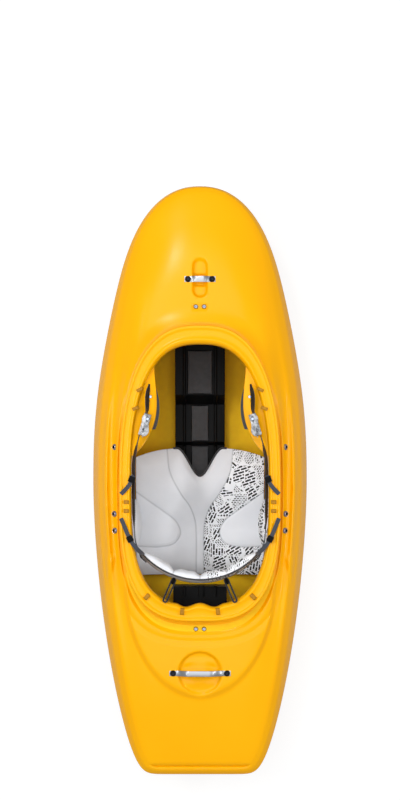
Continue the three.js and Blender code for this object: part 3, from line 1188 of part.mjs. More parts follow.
const THIGH_PAD_THICKNESS = 20;
const THIGH_PAD_END_SHARE = 0.08;
const THIGH_PAD_ROUND_POWER = 0.6;
const THIGH_HEAD_CROWN_SHARE = 0.8;

function thighPad() {
  const [stations, sides] = [12, 8];
  const body = skin(range(stations + 1).map((station) => {
    const along = station / stations;
    const y = mix(THIGH_PAD_REAR, THIGH_PAD_FRONT, along);
    const turn = Math.PI * mix(THIGH_PAD_END_SHARE, 1 - THIGH_PAD_END_SHARE, along);
    const swell = Math.sin(turn) ** THIGH_PAD_ROUND_POWER;
    const half = THIGH_PAD_HALF_WIDTH * swell;
    const thick = THIGH_PAD_THICKNESS * swell;
    return range(sides + 1).map((i) => {
      const angle = (Math.PI * i) / sides;
      const x = THIGH_PAD_MIDDLE - half * Math.cos(angle);
      const deep = clamp01(Math.sin(angle)) ** THIGH_PAD_ROUND_POWER;
      return [x, y, hookTop(x, y) - WALL - GAP - thick * deep];
    });
  }));
  const slot = new THREE.Shape()
    .absarc(THIGH_SCREW_X, THIGH_SCREW_Y - THIGH_TRAVEL, THIGH_SHANK + 2 * GAP, Math.PI, 2 * Math.PI)
    .absarc(THIGH_SCREW_X, THIGH_SCREW_Y + THIGH_TRAVEL, THIGH_SHANK + 2 * GAP, 0, Math.PI);
  const low = hookTop(THIGH_SCREW_X, THIGH_SCREW_Y) - 3 * OVERRUN;
  const blank = new THREE.ExtrudeGeometry(slot, { depth: 4 * OVERRUN, bevelEnabled: false,
    curveSegments: 4 });
  return cut(body, bare(blank.applyMatrix4(new THREE.Matrix4().setPosition(0, 0, low))));
}

function thighScrew() {
  const seat = hookTop(THIGH_SCREW_X, THIGH_SCREW_Y) + HOOK_TILT_SHARE * THIGH_HEAD + GAP;
  const profile = [[0, -THIGH_PAD_THICKNESS], [THIGH_SHANK, -THIGH_PAD_THICKNESS], [THIGH_SHANK, 0],
    [THIGH_HEAD, 0], [THIGH_HEAD * THIGH_HEAD_CROWN_SHARE, THIGH_HEAD / 2], [0, THIGH_HEAD / 2]];
  return turned(profile, new THREE.Vector3(THIGH_SCREW_X, THIGH_SCREW_Y, seat), Z_AXIS);
}

for (const i of range(THIGH_HOLE_COUNT + 1)) {
  const x = THIGH_SCREW_X + i * THIGH_HOLE_PITCH * Math.cos(THIGH_HOLE_TURN);
  const y = THIGH_SCREW_Y + i * THIGH_HOLE_PITCH * Math.sin(THIGH_HOLE_TURN);
  const radius = THIGH_SHANK + GAP;
  const bore = turned([[0, -OVERRUN], [radius, -OVERRUN], [radius, OVERRUN], [0, OVERRUN]],
    new THREE.Vector3(x, y, hookTop(x, y)), Z_AXIS, 8);
  holes.push(bore, mirrored(bore));
}
addPair('thigh_pad', thighPad(), foamBlack);
addPair('thigh_screw', thighScrew(), stainless);

// Webbing straps over the rim's edge: one to the back band's end, one to the seat's thigh lobe
const WEB_THICKNESS = 2;
const WEB_WIDTH = 12;
const WEB_CLEAR = 0.5;
const BUCKLE_LENGTH = 18;
const BUCKLE_WIDTH = 18;
const BUCKLE_HEIGHT = 7;
const WEB_STEPS = 15;
// Stops over the rim: inset from its edge, lead ahead of the band's end, lift off the rim
const BAND_STRAP_STOPS = [[4, 105.8, -2], [14, 81.8, -1], [24, 57.8, 2], [30, 45.8, 2.7], [38, 31.8, 3],
  [48, 19.8, 1]];
const LIFTER_STOPS = [[4, 175.8, -2], [13, 184.8, -1], [24, 196.8, 2], [31, 206.8, 2.9], [35.5, 218.3, 2.9],
  [40, 229.8, 2.4]];
// Stops where the band's strap hangs: the same inset and lead, and height over the band's top
const HANG_STOPS = [[57, 9.8, 36.2], [64, 2.8, 21.8], [66.5, -2.2, 0.6]];

const overRim = (stops) => stops.map(([inset, lead, lift]) => {
  const y = BAND_END + lead;
  return new THREE.Vector3(RIM_HALF_WIDTH - inset, y, rimLine(y) + WEB_CLEAR + WEB_THICKNESS / 2 + lift);
});
const overBand = (stops) => stops.map(([inset, lead, height]) => (
  new THREE.Vector3(RIM_HALF_WIDTH - inset, BAND_END + lead, BAND_TOP + height)));

// A buckle: a frame on the strap, its slot clear of the webbing
function slideBuckle(at, heading) {
  const wide = WEB_WIDTH / 2 + GAP;
  const high = WEB_THICKNESS / 2 + 3 * GAP;
  const outline = [[-BUCKLE_WIDTH / 2, -BUCKLE_HEIGHT / 2], [BUCKLE_WIDTH / 2, -BUCKLE_HEIGHT / 2],
    [BUCKLE_WIDTH / 2, BUCKLE_HEIGHT / 2], [-BUCKLE_WIDTH / 2, BUCKLE_HEIGHT / 2]];
  const slot = [[-wide, -high], [wide, -high], [wide, high], [-wide, high]];
  const along = heading.clone().normalize();
  const across = new THREE.Vector3().crossVectors(along, Z_AXIS).normalize();
  const up = new THREE.Vector3().crossVectors(across, along);
  const frame = (start) => basis(across, up, along.clone(), at.clone().addScaledVector(along, start));
  const back = across.clone().negate();
  const flipped = (start) => basis(back, up, along, at.clone().addScaledVector(along, start));
  const pick = new THREE.Matrix4().makeBasis(across, up, along).determinant() > 0 ? frame : flipped;
  const body = prism(outline, BUCKLE_LENGTH, pick(-BUCKLE_LENGTH / 2));
  return cut(body, prism(slot, 2 * BUCKLE_LENGTH, pick(-BUCKLE_LENGTH)));
}

function webStrap(route) {
  const curve = new THREE.CatmullRomCurve3(route, false, 'centripetal');
  return strap(curve.getPoints(WEB_STEPS).map((p) => p.toArray()), WEB_WIDTH, WEB_THICKNESS, () => Z_AXIS);
}

const bandRoute = [...overRim(BAND_STRAP_STOPS), ...overBand(HANG_STOPS)];
addPair('band_strap', webStrap(bandRoute), webbing);
addPair('band_buckle', slideBuckle(bandRoute[3], bandRoute[4].clone().sub(bandRoute[2])), mouldedBlack);

const lifterRoute = overRim(LIFTER_STOPS);
addPair('lifter_strap', webStrap(lifterRoute), webbing);
const lifterHeading = lifterRoute[5].clone().sub(lifterRoute[3]);
addPair('lifter_buckle', slideBuckle(lifterRoute[4], lifterHeading), mouldedBlack);

// Cord loops that hold the back band up to the rear of the rim
const CORD_RADIUS = 2;
const CORD_SPREAD = 5;
const CORD_SIDES = 6;
const CORD_STEPS = 8;
const CORD_BAND_SHARE = 0.3756;
const CORD_RIM_INSET = 14.4;
const CORD_RIM_LEAD = 68;
const CORD_RIM_Y = RIM_REAR + CORD_RIM_LEAD;
function cordLoop() {
  const clear = BAND_SHELL_THICKNESS + CORD_RADIUS + CORD_SPREAD + GAP;
  const height = BAND_TOP - 2 * BAND_SHELL_MARGIN;
  const start = new THREE.Vector3(...bandPoint(CORD_BAND_SHARE, height, BAND_RADIUS + clear));
  const rimX = innerEdge(CORD_RIM_Y) - CORD_RIM_INSET;
  const end = new THREE.Vector3(rimX, CORD_RIM_Y, rimLine(CORD_RIM_Y) - RIM_WALL_DROP / 2);
  const along = end.clone().sub(start).normalize();
  const across = new THREE.Vector3().crossVectors(along, Z_AXIS).normalize();
  const up = new THREE.Vector3().crossVectors(across, along);
  const line = [];
  for (const [centre, turn] of [[end, -1], [start, 1]]) {
    for (const i of range(CORD_STEPS + 1)) {
      const angle = (Math.PI * i) / CORD_STEPS;
      const sway = CORD_SPREAD * Math.cos(angle) * -turn;
      const swing = -turn * CORD_SPREAD * Math.sin(angle);
      const out = across.clone().multiplyScalar(-turn * Math.cos(angle));
      line.push({ at: centre.clone().addScaledVector(across, sway).addScaledVector(along, swing),
        out: out.addScaledVector(along, -turn * Math.sin(angle)) });
    }
  }
  return skin(line.map(({ at, out }) => range(CORD_SIDES).map((i) => {
    const angle = (2 * Math.PI * i) / CORD_SIDES;
    return at.clone().addScaledVector(out, CORD_RADIUS * Math.cos(angle))
      .addScaledVector(up, CORD_RADIUS * Math.sin(angle)).toArray();
  })), true);
}
addPair('band_cord', cordLoop(), webbing);

addPiece('hull_shell', cut(hullBlank, ...holes), hullYellow);

export default kayak;
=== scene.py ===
import json
import bmesh
import bpy
import numpy as np
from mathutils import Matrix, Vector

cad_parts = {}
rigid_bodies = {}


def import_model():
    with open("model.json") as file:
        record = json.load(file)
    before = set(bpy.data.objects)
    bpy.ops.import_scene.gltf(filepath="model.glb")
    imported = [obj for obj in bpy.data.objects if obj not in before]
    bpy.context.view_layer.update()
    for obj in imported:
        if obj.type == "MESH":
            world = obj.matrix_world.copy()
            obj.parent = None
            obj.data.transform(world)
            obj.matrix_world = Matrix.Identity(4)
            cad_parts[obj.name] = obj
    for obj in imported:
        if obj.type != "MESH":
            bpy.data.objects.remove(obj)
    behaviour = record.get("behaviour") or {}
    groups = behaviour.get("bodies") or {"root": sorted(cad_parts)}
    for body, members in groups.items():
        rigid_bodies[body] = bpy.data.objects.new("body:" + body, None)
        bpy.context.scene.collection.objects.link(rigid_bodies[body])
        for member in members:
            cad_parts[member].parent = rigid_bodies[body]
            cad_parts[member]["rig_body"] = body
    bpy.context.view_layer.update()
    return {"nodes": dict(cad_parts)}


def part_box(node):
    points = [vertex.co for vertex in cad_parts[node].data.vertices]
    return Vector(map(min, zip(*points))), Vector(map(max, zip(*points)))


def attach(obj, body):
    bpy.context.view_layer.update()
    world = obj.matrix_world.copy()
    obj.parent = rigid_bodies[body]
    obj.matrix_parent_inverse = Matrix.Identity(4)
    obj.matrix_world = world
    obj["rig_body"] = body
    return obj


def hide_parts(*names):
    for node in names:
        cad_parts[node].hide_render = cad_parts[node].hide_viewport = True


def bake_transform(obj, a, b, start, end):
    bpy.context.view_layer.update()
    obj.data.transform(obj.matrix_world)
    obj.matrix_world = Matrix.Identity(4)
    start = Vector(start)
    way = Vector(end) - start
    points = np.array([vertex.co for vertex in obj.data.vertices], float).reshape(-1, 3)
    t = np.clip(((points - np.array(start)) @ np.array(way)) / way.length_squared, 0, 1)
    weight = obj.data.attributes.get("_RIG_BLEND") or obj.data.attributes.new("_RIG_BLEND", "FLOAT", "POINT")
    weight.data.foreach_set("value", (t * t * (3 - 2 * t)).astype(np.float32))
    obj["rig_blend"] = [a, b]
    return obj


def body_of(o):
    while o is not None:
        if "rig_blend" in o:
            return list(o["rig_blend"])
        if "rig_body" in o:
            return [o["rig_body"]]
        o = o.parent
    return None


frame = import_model()

# Camera: straight down over the cockpit from six metres, bow at the top of the picture.
# One pixel is about 3 mm at the height of the seam; the rise puts the middle of the boat low in the frame.
CAMERA_HEIGHT = 6.0
CAMERA_LENS = 88.31
CAMERA_RISE = 0.1012


def linked(name, data):
    """A new object of that data, in the scene."""
    made = bpy.data.objects.new(name, data)
    bpy.context.scene.collection.objects.link(made)
    return made


camera_data = bpy.data.cameras.new("overhead_camera")
camera_data.lens = CAMERA_LENS
camera_data.shift_y = CAMERA_RISE
camera_data.clip_end = 50
camera = linked("overhead_camera", camera_data)
camera.location = (0, 0, CAMERA_HEIGHT)
bpy.context.scene.camera = camera
bpy.context.scene.view_settings.view_transform = "Standard"


def colour(text):
    """The hex colour turned linear: a channel c is c / 12.92 up to 0.04045, else ((c + 0.055) / 1.055)^2.4."""
    c = np.array([int(text[i:i + 2], 16) for i in (1, 3, 5)]) / 255
    linear = np.where(c <= 0.04045, c / 12.92, ((c + 0.055) / 1.055) ** 2.4)
    return (*linear.tolist(), 1.0)


def add(tree, kind, inputs=None, **settings):
    """One shader node: settings go on the node, inputs hold plain values or (node, output) links."""
    made = tree.nodes.new("ShaderNode" + kind)
    for key, value in settings.items():
        setattr(made, key, value)
    for key, value in (inputs or {}).items():
        if isinstance(value, tuple) and isinstance(value[0], bpy.types.Node):
            tree.links.new(value[0].outputs[value[1]], made.inputs[key])
        else:
            made.inputs[key].default_value = value
    return made


def start_material(name):
    """An empty node material and its tree."""
    made = bpy.data.materials.new(name)
    made.use_nodes = True
    made.node_tree.nodes.clear()
    return made, made.node_tree


# Studio: a white floor sweep that keeps a faint shadow, two soft boxes beside the boat, one over the bow,
# a broad ceiling panel that lights the cockpit, and a pale even room light. Sweep and room look bright to
# the camera only, so that they don't wash out the boat's steep sides.
def area_lamp(name, place, turn, size, watts):
    """A rectangular soft box."""
    data = bpy.data.lights.new(name, "AREA")
    data.shape = "RECTANGLE"
    data.size, data.size_y = size
    data.energy = watts
    lamp = linked(name, data)
    lamp.location = place
    lamp.rotation_euler = np.radians(turn).tolist()


area_lamp("soft_box_left", (-1.9, 0.2, 2.4), (0, -38, 0), (0.2, 1.6), 23)
area_lamp("soft_box_right", (2.1, -0.2, 2.3), (0, 42, 0), (0.2, 1.5), 22)
area_lamp("soft_box_bow", (-0.75, 1.7, 3.0), (-22, -14, 0), (0.4, 0.35), 17)
area_lamp("ceiling_panel", (-0.8, 0.2, 6.8), (-1, -6, 0), (5.5, 5.5), 176)

WHITE = (1, 1, 1, 1)
room = bpy.data.worlds.new("pale_room")
room.use_nodes = True
tree = room.node_tree
tree.nodes.clear()
seen = add(tree, "LightPath")
seen_or_through = add(tree, "Math", {0: (seen, "Is Camera Ray"), 1: (seen, "Is Transmission Ray")},
                      operation="MAXIMUM")
even_light = add(tree, "Background", {"Color": colour("#f4f6f8"), "Strength": 0.44})
backdrop = add(tree, "Background", {"Color": WHITE, "Strength": 1.0})
room_mix = add(tree, "MixShader", {0: (seen_or_through, 0), 1: (even_light, 0), 2: (backdrop, 0)})
add(tree, "OutputWorld", {"Surface": (room_mix, 0)})
bpy.context.scene.world = room

MM = 0.001
FLOOR_HALF_SPAN = 20000


def cleaned(mesh, source, merge, flats=False, outward=True):
    """Fills a mesh from its source: doubles within merge metres joined, flats made whole and faces turned
    outward where asked, and every face smooth."""
    shaped = bmesh.new()
    shaped.from_mesh(source)
    bmesh.ops.remove_doubles(shaped, verts=shaped.verts, dist=merge)
    if flats:
        bmesh.ops.dissolve_limit(shaped, angle_limit=np.radians(1.5), verts=shaped.verts, edges=shaped.edges)
    if outward:
        bmesh.ops.recalc_face_normals(shaped, faces=shaped.faces)
    shaped.to_mesh(mesh)
    shaped.free()
    mesh.polygons.foreach_set("use_smooth", np.ones(len(mesh.polygons), dtype=bool))


def make_object(name, points, faces, material, crease=None, outward=True, lined=None):
    """One object from points in millimetres and rows of point numbers, kept at the origin. Edges steeper
    than the crease angle stay sharp. lined is a second material and, for each face, whether it takes it."""
    mesh = bpy.data.meshes.new(name)
    flat = np.asarray(points, dtype=float).reshape(-1, 3) * MM
    mesh.vertices.add(len(flat))
    mesh.vertices.foreach_set("co", flat.ravel())
    rows = np.asarray(faces, dtype=np.int32)
    mesh.loops.add(rows.size)
    mesh.loops.foreach_set("vertex_index", rows.ravel())
    mesh.polygons.add(len(rows))
    mesh.polygons.foreach_set("loop_start", np.arange(len(rows), dtype=np.int32) * rows.shape[1])
    mesh.polygons.foreach_set("loop_total", np.full(len(rows), rows.shape[1], dtype=np.int32))
    mesh.update(calc_edges=True)
    mesh.validate()
    mesh.materials.append(material)
    if lined:
        mesh.materials.append(lined[0])
        mesh.polygons.foreach_set("material_index", lined[1].astype(np.int32))
    cleaned(mesh, mesh, 0.00002, outward=outward)
    if crease:
        mesh.set_sharp_from_angle(angle=np.radians(crease))
    return linked(name, mesh)


def grid_faces(rows, columns, wrap_rows=False, wrap_columns=False, start=0):
    """Four-cornered faces between neighbours of a rows by columns grid, wrapped round where asked."""
    r = np.arange(rows if wrap_rows else rows - 1)
    c = np.arange(columns if wrap_columns else columns - 1)
    r, c = np.meshgrid(r, c, indexing="ij")
    r2, c2 = (r + 1) % rows, (c + 1) % columns
    quads = np.stack([r * columns + c, r * columns + c2, r2 * columns + c2, r2 * columns + c], axis=-1)
    return quads.reshape(-1, 4) + start


paper_sweep, tree = start_material("matt_white_paper_sweep")
# Matt photo paper: a plain grey to the boat, and near white with a faint shadow to the camera.
light_path = add(tree, "LightPath")
paper = add(tree, "BsdfDiffuse", {"Color": colour("#b4b4b4")})
shade = add(tree, "BsdfDiffuse", {"Color": colour("#848484")})
glow = add(tree, "Emission", {"Color": WHITE, "Strength": 0.81})
bright = add(tree, "AddShader", {0: (shade, 0), 1: (glow, 0)})
sweep = add(tree, "MixShader", {0: (light_path, "Is Camera Ray"), 1: (paper, 0), 2: (bright, 0)})
add(tree, "OutputMaterial", {"Surface": (sweep, 0)})
span = np.linspace(-FLOOR_HALF_SPAN, FLOOR_HALF_SPAN, 5)
floor_x, floor_y = np.meshgrid(span, span, indexing="ij")
make_object("studio_floor", np.stack([floor_x, floor_y, np.full_like(floor_x, -0.5)], axis=-1),
                     grid_faces(5, 5)[:, ::-1], paper_sweep, outward=False)


# Band cords: limp braided polyester cord, 5 mm thick, threaded through the top of the back band
# and looped over the rear of the rim; both ends go back into the band's quilting.
SIDES = (("left", -1), ("right", 1))
RIM_CENTRE, RIM_FRONT, RIM_REAR, RIM_HALF_WIDTH = -29, 449, -408, 233
BAND_RADIUS, BAND_CENTRE, BAND_HALF_ANGLE = 233, -64, np.radians(50)
BAND_TOP, BAND_BASE, BAND_END_BASE = 266, 98, 178
CORD_RADIUS, CORD_SPREAD = 2.5, 5.5


def mix(a, b, share):
    """a at share 0, b at share 1, and evenly between."""
    return a + (b - a) * share


def ease(value):
    """0 below 0, 1 above 1, and 3v^2 - 2v^3 between."""
    held = np.clip(value, 0, 1)
    return held * held * (3 - 2 * held)


def rim_line(y):
    """Height of the rim's edge: 345 mm at its front, falling 0.0525 mm for each millimetre aft."""
    return 345 + 0.0525 * (y - RIM_FRONT)


def inner_edge(y):
    """Half width of the cockpit's opening: 199 times (1 - |along / reach|^power)^(1 / power)."""
    along = np.asarray(y, dtype=float) - RIM_CENTRE
    reach = np.where(along > 0, 425, 333)
    power = np.where(along > 0, 2.6, 3)
    return 199 * np.clip(1 - (np.abs(along) / reach) ** power, 0, 1) ** (1 / power)


def band_point(share, z, radius):
    """A point of the band: share of 50 degrees round its centre, at the radius less a lean of 16 mm in all."""
    lean = 16 * ((z - BAND_BASE) / (BAND_TOP - BAND_BASE) - 0.5)
    angle = share * BAND_HALF_ANGLE
    return np.stack(np.broadcast_arrays((radius - lean) * np.sin(angle),
                                        BAND_CENTRE - (radius - lean) * np.cos(angle), z), axis=-1)


def unit(vectors):
    """Each row over its length."""
    return vectors / np.linalg.norm(vectors, axis=-1, keepdims=True)


def oval(across, rise, count):
    """A section: points round an ellipse of those half axes."""
    angle = np.linspace(0, 2 * np.pi, count, endpoint=False)
    return np.column_stack([across * np.cos(angle), rise * np.sin(angle)])


def swept(path, section):
    """A section of (across, rise) points carried along a path, square to it, its rise kept upright."""
    ahead = unit(np.gradient(path, axis=0))
    across = unit(np.cross(ahead, (0, 0, 1)))
    rise = np.cross(across, ahead)
    return path[:, None] + section[None, :, :1] * across[:, None] + section[None, :, 1:] * rise[:, None]


def mirrored(points, sign):
    """Points in millimetres, mirrored in x where sign is -1, as plain lists in metres."""
    return (points * (sign, 1, 1) * MM).tolist()


def skinned(name, rings, material, crease=40):
    """A closed skin over rings of points, drawn in to the middle of the first and last ring."""
    first, last = (end.mean(axis=1, keepdims=True) + 0 * end for end in (rings[:1], rings[-1:]))
    closed = np.concatenate([first, rings, last])
    return make_object(name, closed, grid_faces(*closed.shape[:2], wrap_columns=True), material, crease)


def pair(name, rings, material, crease=40):
    """Such a skin at each side, the left one mirrored: gives (side name, sign, piece) once for each."""
    for side_name, sign in SIDES:
        yield side_name, sign, skinned(f"{name}_{side_name}", rings * (sign, 1, 1), material, crease)


def texture(tree, kind, scale, inputs=None, over=None, **settings):
    """A texture node of that scale, over the object's own coordinates or the vector that is given."""
    over = over or (add(tree, "TexCoord"), "Object")
    return add(tree, "Tex" + kind, {"Vector": over, "Scale": scale, **(inputs or {})}, **settings)


def between(tree, share, low, high):
    """The colour at that share of the way from low to high, each a hex text or a link."""
    low, high = (colour(end) if isinstance(end, str) else end for end in (low, high))
    return add(tree, "Mix", {0: share, 6: low, 7: high}, data_type="RGBA"), 2


def maths(tree, operation, first, second):
    """One sum, product or comparison of two values."""
    return add(tree, "Math", {0: first, 1: second}, operation=operation), 0


def bump(tree, height, strength, distance, **onto):
    """The normal bent by a height, onto another Normal where one is given."""
    return add(tree, "Bump", {"Height": height, "Strength": strength, "Distance": distance, **onto}), 0


def finish_material(tree, tint, roughness, inputs):
    """The surface shader with its colour, roughness and other inputs, and the material's output."""
    surface = add(tree, "BsdfPrincipled", {"Base Color": tint, "Roughness": roughness, **inputs})
    add(tree, "OutputMaterial", {"Surface": (surface, 0)})


braid, tree = start_material("braided_black_polyester_cord")
# Braided polyester cord: a soft sheen, and plaits about 2.5 mm long that cross on the slant.
slant = add(tree, "Mapping", {"Vector": (add(tree, "TexCoord"), "Object"), "Rotation": (0, 0, np.radians(80))})
plaits = [(texture(tree, "Wave", 190, {"Distortion": 0.4}, over, bands_direction="DIAGONAL"), "Fac")
          for over in (None, (slant, 0))]
plait = maths(tree, "MULTIPLY", *plaits)
finish_material(tree, between(tree, plait, "#08090c", "#1a1c22"), 0.72,
                {"Normal": bump(tree, plait, 0.6, 0.0004), "Sheen Weight": 0.25})

cord_start = band_point(0.3756, BAND_TOP - 16, BAND_RADIUS + 3 + CORD_RADIUS + CORD_SPREAD + 0.3)
cord_end = np.array([inner_edge(-340) - 12, -347, rim_line(-347) + 3])
cord_ahead = unit(cord_end - cord_start)
cord_across = unit(np.cross(cord_ahead, (0, 0, 1)))
turn = np.linspace(-np.pi / 2, np.pi / 2, 13)[:, None]
loop_end = cord_end + CORD_SPREAD * (cord_across * -np.sin(turn) + cord_ahead * np.cos(turn))
runs = np.linspace(0, 1, 9)[:-1, None]
outbound = mix(cord_start + cord_across * CORD_SPREAD, loop_end[0], runs)
inbound = mix(loop_end[-1], cord_start - cord_across * CORD_SPREAD, runs + 1 / 8)
cord_line = np.concatenate([outbound, loop_end, inbound])
for side_name, sign in SIDES:
    cord_rings = swept(cord_line * (sign, 1, 1), oval(CORD_RADIUS, CORD_RADIUS, 10))
    cord = skinned(f"braided_band_cord_{side_name}", cord_rings, braid)
    mirrored(cord_line[0], sign)
    mirrored(cord_line, sign)
    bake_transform(cord, "hull", "back_band", start=mirrored(cord_end, sign), end=mirrored(cord_start, sign))
    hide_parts(f"band_cord_{side_name}")


# Hull: one rotationally moulded shell of linear polyethylene, 5 mm thick, bottom, deck and cockpit rim
# in one piece. The grab groove, the round dish, the stern panel and the rim's bead are moulded in.
HALF_LENGTH, HALF_WIDTH, WALL = 869, 320, 5
HALF_STATIONS = 250
GROOVE_Y, FRONT_SCREW_Y, REAR_SCREW_Y, DISH_Y = 590, 506, -433, -563


def outline():
    """Plan outline as (side, along) shares, bow to stern, t being |along|: side is
    (1 - t^2.29)^(1/2.28) (1 - 0.049 sin^2(pi t^1.37)) ahead of the middle and
    (1 - 0.363 t^1.75) (1 - t^5.04)^(1/13) behind it."""
    t = 1 - (1 - np.linspace(0, 1, 4001)) ** 3
    bow = (1 - t ** 2.29) ** (1 / 2.28) * (1 - 0.049 * np.sin(np.pi * t ** 1.37) ** 2)
    stern = (1 - 0.363 * t ** 1.75) * (1 - t ** 5.04) ** (1 / 13)
    return np.concatenate([np.column_stack([bow, t])[::-1], np.column_stack([stern, -t])[1:]])


def rim_outline():
    """Plan of the rim as (side, along) shares: side^p + |along|^p = 1, p 2.6 at the front and 3 at the rear."""
    a = np.linspace(0, np.pi, 8001)
    power = np.where(a < np.pi / 2, 2.6, 3)
    side = np.clip(np.sin(a), 0, 1) ** (2 / power)
    along = np.sign(np.cos(a)) * np.abs(np.cos(a)) ** (2 / power)
    return np.column_stack([side, along])


def paced(line, half_width, reach):
    """Stations along a line: close where it turns, at 150 mm a radian, and five times as close near x = 0."""
    place = line * (half_width, reach)
    step = np.diff(place, axis=0)
    heading = np.unwrap(np.arctan2(step[:, 1], step[:, 0]), period=np.pi)
    turn = np.abs(np.diff(heading, prepend=heading[0]))
    centre = 1 + 4 * np.exp(-((place[1:, 0] / 75) ** 2))
    pace = np.concatenate([[0], np.cumsum(np.hypot(step[:, 0], step[:, 1]) * centre + 150 * turn)])
    wanted = np.linspace(0, pace[-1], HALF_STATIONS + 1)
    return np.column_stack([np.interp(wanted, pace, line[:, axis]) for axis in (0, 1)])


def rocker(y):
    """Height of the bottom: flat 300 mm each way, then up 195 s^1.7 to the bow, 150 s^1.8 to the stern."""
    share = np.clip((np.abs(y) - 300) / (HALF_LENGTH - 300), 0, 1)
    return np.where(y > 0, 195 * share ** 1.7, 150 * share ** 1.8)


def seam_line(y):
    """Height of the widest line: 135 mm amidships, 240 mm at the bow, 174 mm at the stern."""
    return mix(135, np.where(y > 0, 240, 174), np.abs(y / HALF_LENGTH) ** 1.6)


def bilge_line(y):
    """Height of the bilge's turn: 0.38 of the way from the bottom to the widest line."""
    return mix(rocker(y), seam_line(y), 0.38)


def shoulder_line(y):
    """Height of the deck's edge: 268 mm, 198 mm at the stern, with a 14 mm sag along the bow."""
    share = np.abs(y / HALF_LENGTH)
    sag = np.where(y > 0, 14 * np.sin(np.pi * share), 0)
    return mix(268, np.where(y > 0, 268, 198), share ** 1.5) - sag


def flank_line(y):
    """Height of the line where the side rounds over: 0.34 of the way down from the deck's edge to the seam."""
    return mix(shoulder_line(y), seam_line(y), 0.34)


def round_box(x, y, half_x, half_y, corner):
    """Distance outside a rounded box, less than 0 inside it."""
    over = np.stack([np.abs(x) - half_x + corner, np.abs(y) - half_y + corner])
    return np.hypot(*np.maximum(over, 0)) + np.minimum(over.max(axis=0), 0) - corner


def deck_relief(x, y):
    """Height added to the deck, each form eased over its own edge width: a raised stern panel creased along
    an arc behind the rim, a stepped grab groove, a round dish with a rippled boss, two screw pads, a ledge
    across the stern, and beside the rim a ridge, a sunk step and a facet that narrows aft."""
    on_panel = ease((1 - np.hypot(x / 226, np.maximum(0, -300 - y) / 345)) / 0.07)
    relief = 9 * on_panel * ease((-210 - y) / 90)
    arc = ((np.abs(x) / 272) ** 3 + (np.abs(y - RIM_CENTRE) / 446) ** 3) ** (1 / 3)
    arc_step = 1.4 * ease((arc - 1) / 0.03) - 2.4 * np.exp(-(((arc - 0.985) / 0.014) ** 2))
    relief += arc_step * ease((-330 - y) / 40) * on_panel
    groove = round_box(x, y - GROOVE_Y, 24, 59, 23)
    relief -= 15 * ease(-groove / 9)
    relief -= 7 * ease((y - 565) / 5) * ease((603 - y) / 5) * ease((-groove - 5) / 7)
    dish = np.hypot(x, y - DISH_Y)
    relief -= 11 * ease((66 - dish) / 9)
    relief += 5 * ease((46 - np.hypot(x, (y - DISH_Y) * 1.15)) / 34)
    relief += 1.5 * np.cos(2 * np.pi * (y - DISH_Y) / 34) * ease((60 - dish) / 20)
    relief -= 2.6 * ease(-round_box(x, y - FRONT_SCREW_Y, 25, 11, 9) / 3)
    relief += 2.2 * ease(-round_box(x, y - REAR_SCREW_Y, 27, 11, 9) / 3)
    relief -= 11 * ease((34 - HALF_LENGTH - y) / 16) * ease((232 - np.abs(x)) / 26)
    order = np.argsort(along)
    inboard = np.interp(y, along[order] * HALF_LENGTH, side[order] * HALF_WIDTH) - np.abs(x)
    relief += 5.5 * np.exp(-(((inboard - 44) / 7) ** 2)) * ease((y + 226) / 18) * ease((262 - y) / 90)
    relief -= 2.6 * ease((y + 41) / 5) * ease((-6 - y) / 5) * ease((inboard - 47) / 5)
    facet = ease((np.abs(x) - 246 + 0.3 * (y + 232)) / 9) * ease((-214 - y) / 12) * ease((y + 372) / 70)
    return relief + 6 * facet * ease((inboard - 22) / 14)


side, along = paced(outline(), HALF_WIDTH, HALF_LENGTH).T
rim_side, rim_along = paced(rim_outline(), RIM_HALF_WIDTH, RIM_FRONT - RIM_CENTRE).T
rim_reach = np.where(rim_along > 0, RIM_FRONT - RIM_CENTRE, RIM_CENTRE - RIM_REAR)
rim_end = np.where(rim_along > 0, 53, 46)


def on_hull(inset, end_inset, height, lift=0):
    """The hull's guide line at that inset from the outline, at the height that a function of y gives."""
    y = along * (HALF_LENGTH - end_inset)
    return np.stack([side * (HALF_WIDTH - inset), y, height(y) + lift], axis=-1)


def on_rim(inset, end_inset, drop):
    """The rim's guide line at that inset from its edge and drop from its height."""
    y = RIM_CENTRE + rim_along * (rim_reach - end_inset)
    return np.stack([rim_side * (RIM_HALF_WIDTH - inset), y, rim_line(y) - drop], axis=-1)


def across_rim(share, drop):
    """A line across the rim's breadth, with three soft waves where its inner edge meets the rear pillar."""
    wave = 6 * np.cos(2 * np.pi * rim_side * RIM_HALF_WIDTH / 104) * ease((1.6 - rim_side * 4) / 0.6)
    return on_rim(34 * share, (rim_end + wave * (rim_along < 0)) * share, drop)


def crowned(a, b):
    """Half way between two lines, raised by the deck's crown: -9 mm amidships, 14 mm at the ends."""
    rise = mix(-9, 14, along ** 2)
    return mix(a, b, 0.5) + rise[:, None] * (0, 0, 1)


def rounded(corners):
    """Lines of points through corners: each corner is a quadratic curve that takes a share of the way to its
    neighbours, and straight runs lie between. A corner is (points, share before, share after, bends, runs)."""
    rows = []
    for i, (tip, before, after, bends, runs) in enumerate(corners):
        previous, following = corners[max(i - 1, 0)][0], corners[min(i + 1, len(corners) - 1)][0]
        start, end = mix(tip, previous, before), mix(tip, following, after)
        if rows:
            gap = (np.arange(1, last_runs) / last_runs)[:, None, None]
            rows.extend(mix(rows[-1][None], start[None], gap))
        bend = np.linspace(0, 1, bends + 1)[:, None, None] if bends else np.zeros((1, 1, 1))
        rows.extend((1 - bend) ** 2 * start + 2 * bend * (1 - bend) * tip + bend ** 2 * end)
        last_runs = runs
    return np.stack(rows, axis=1)


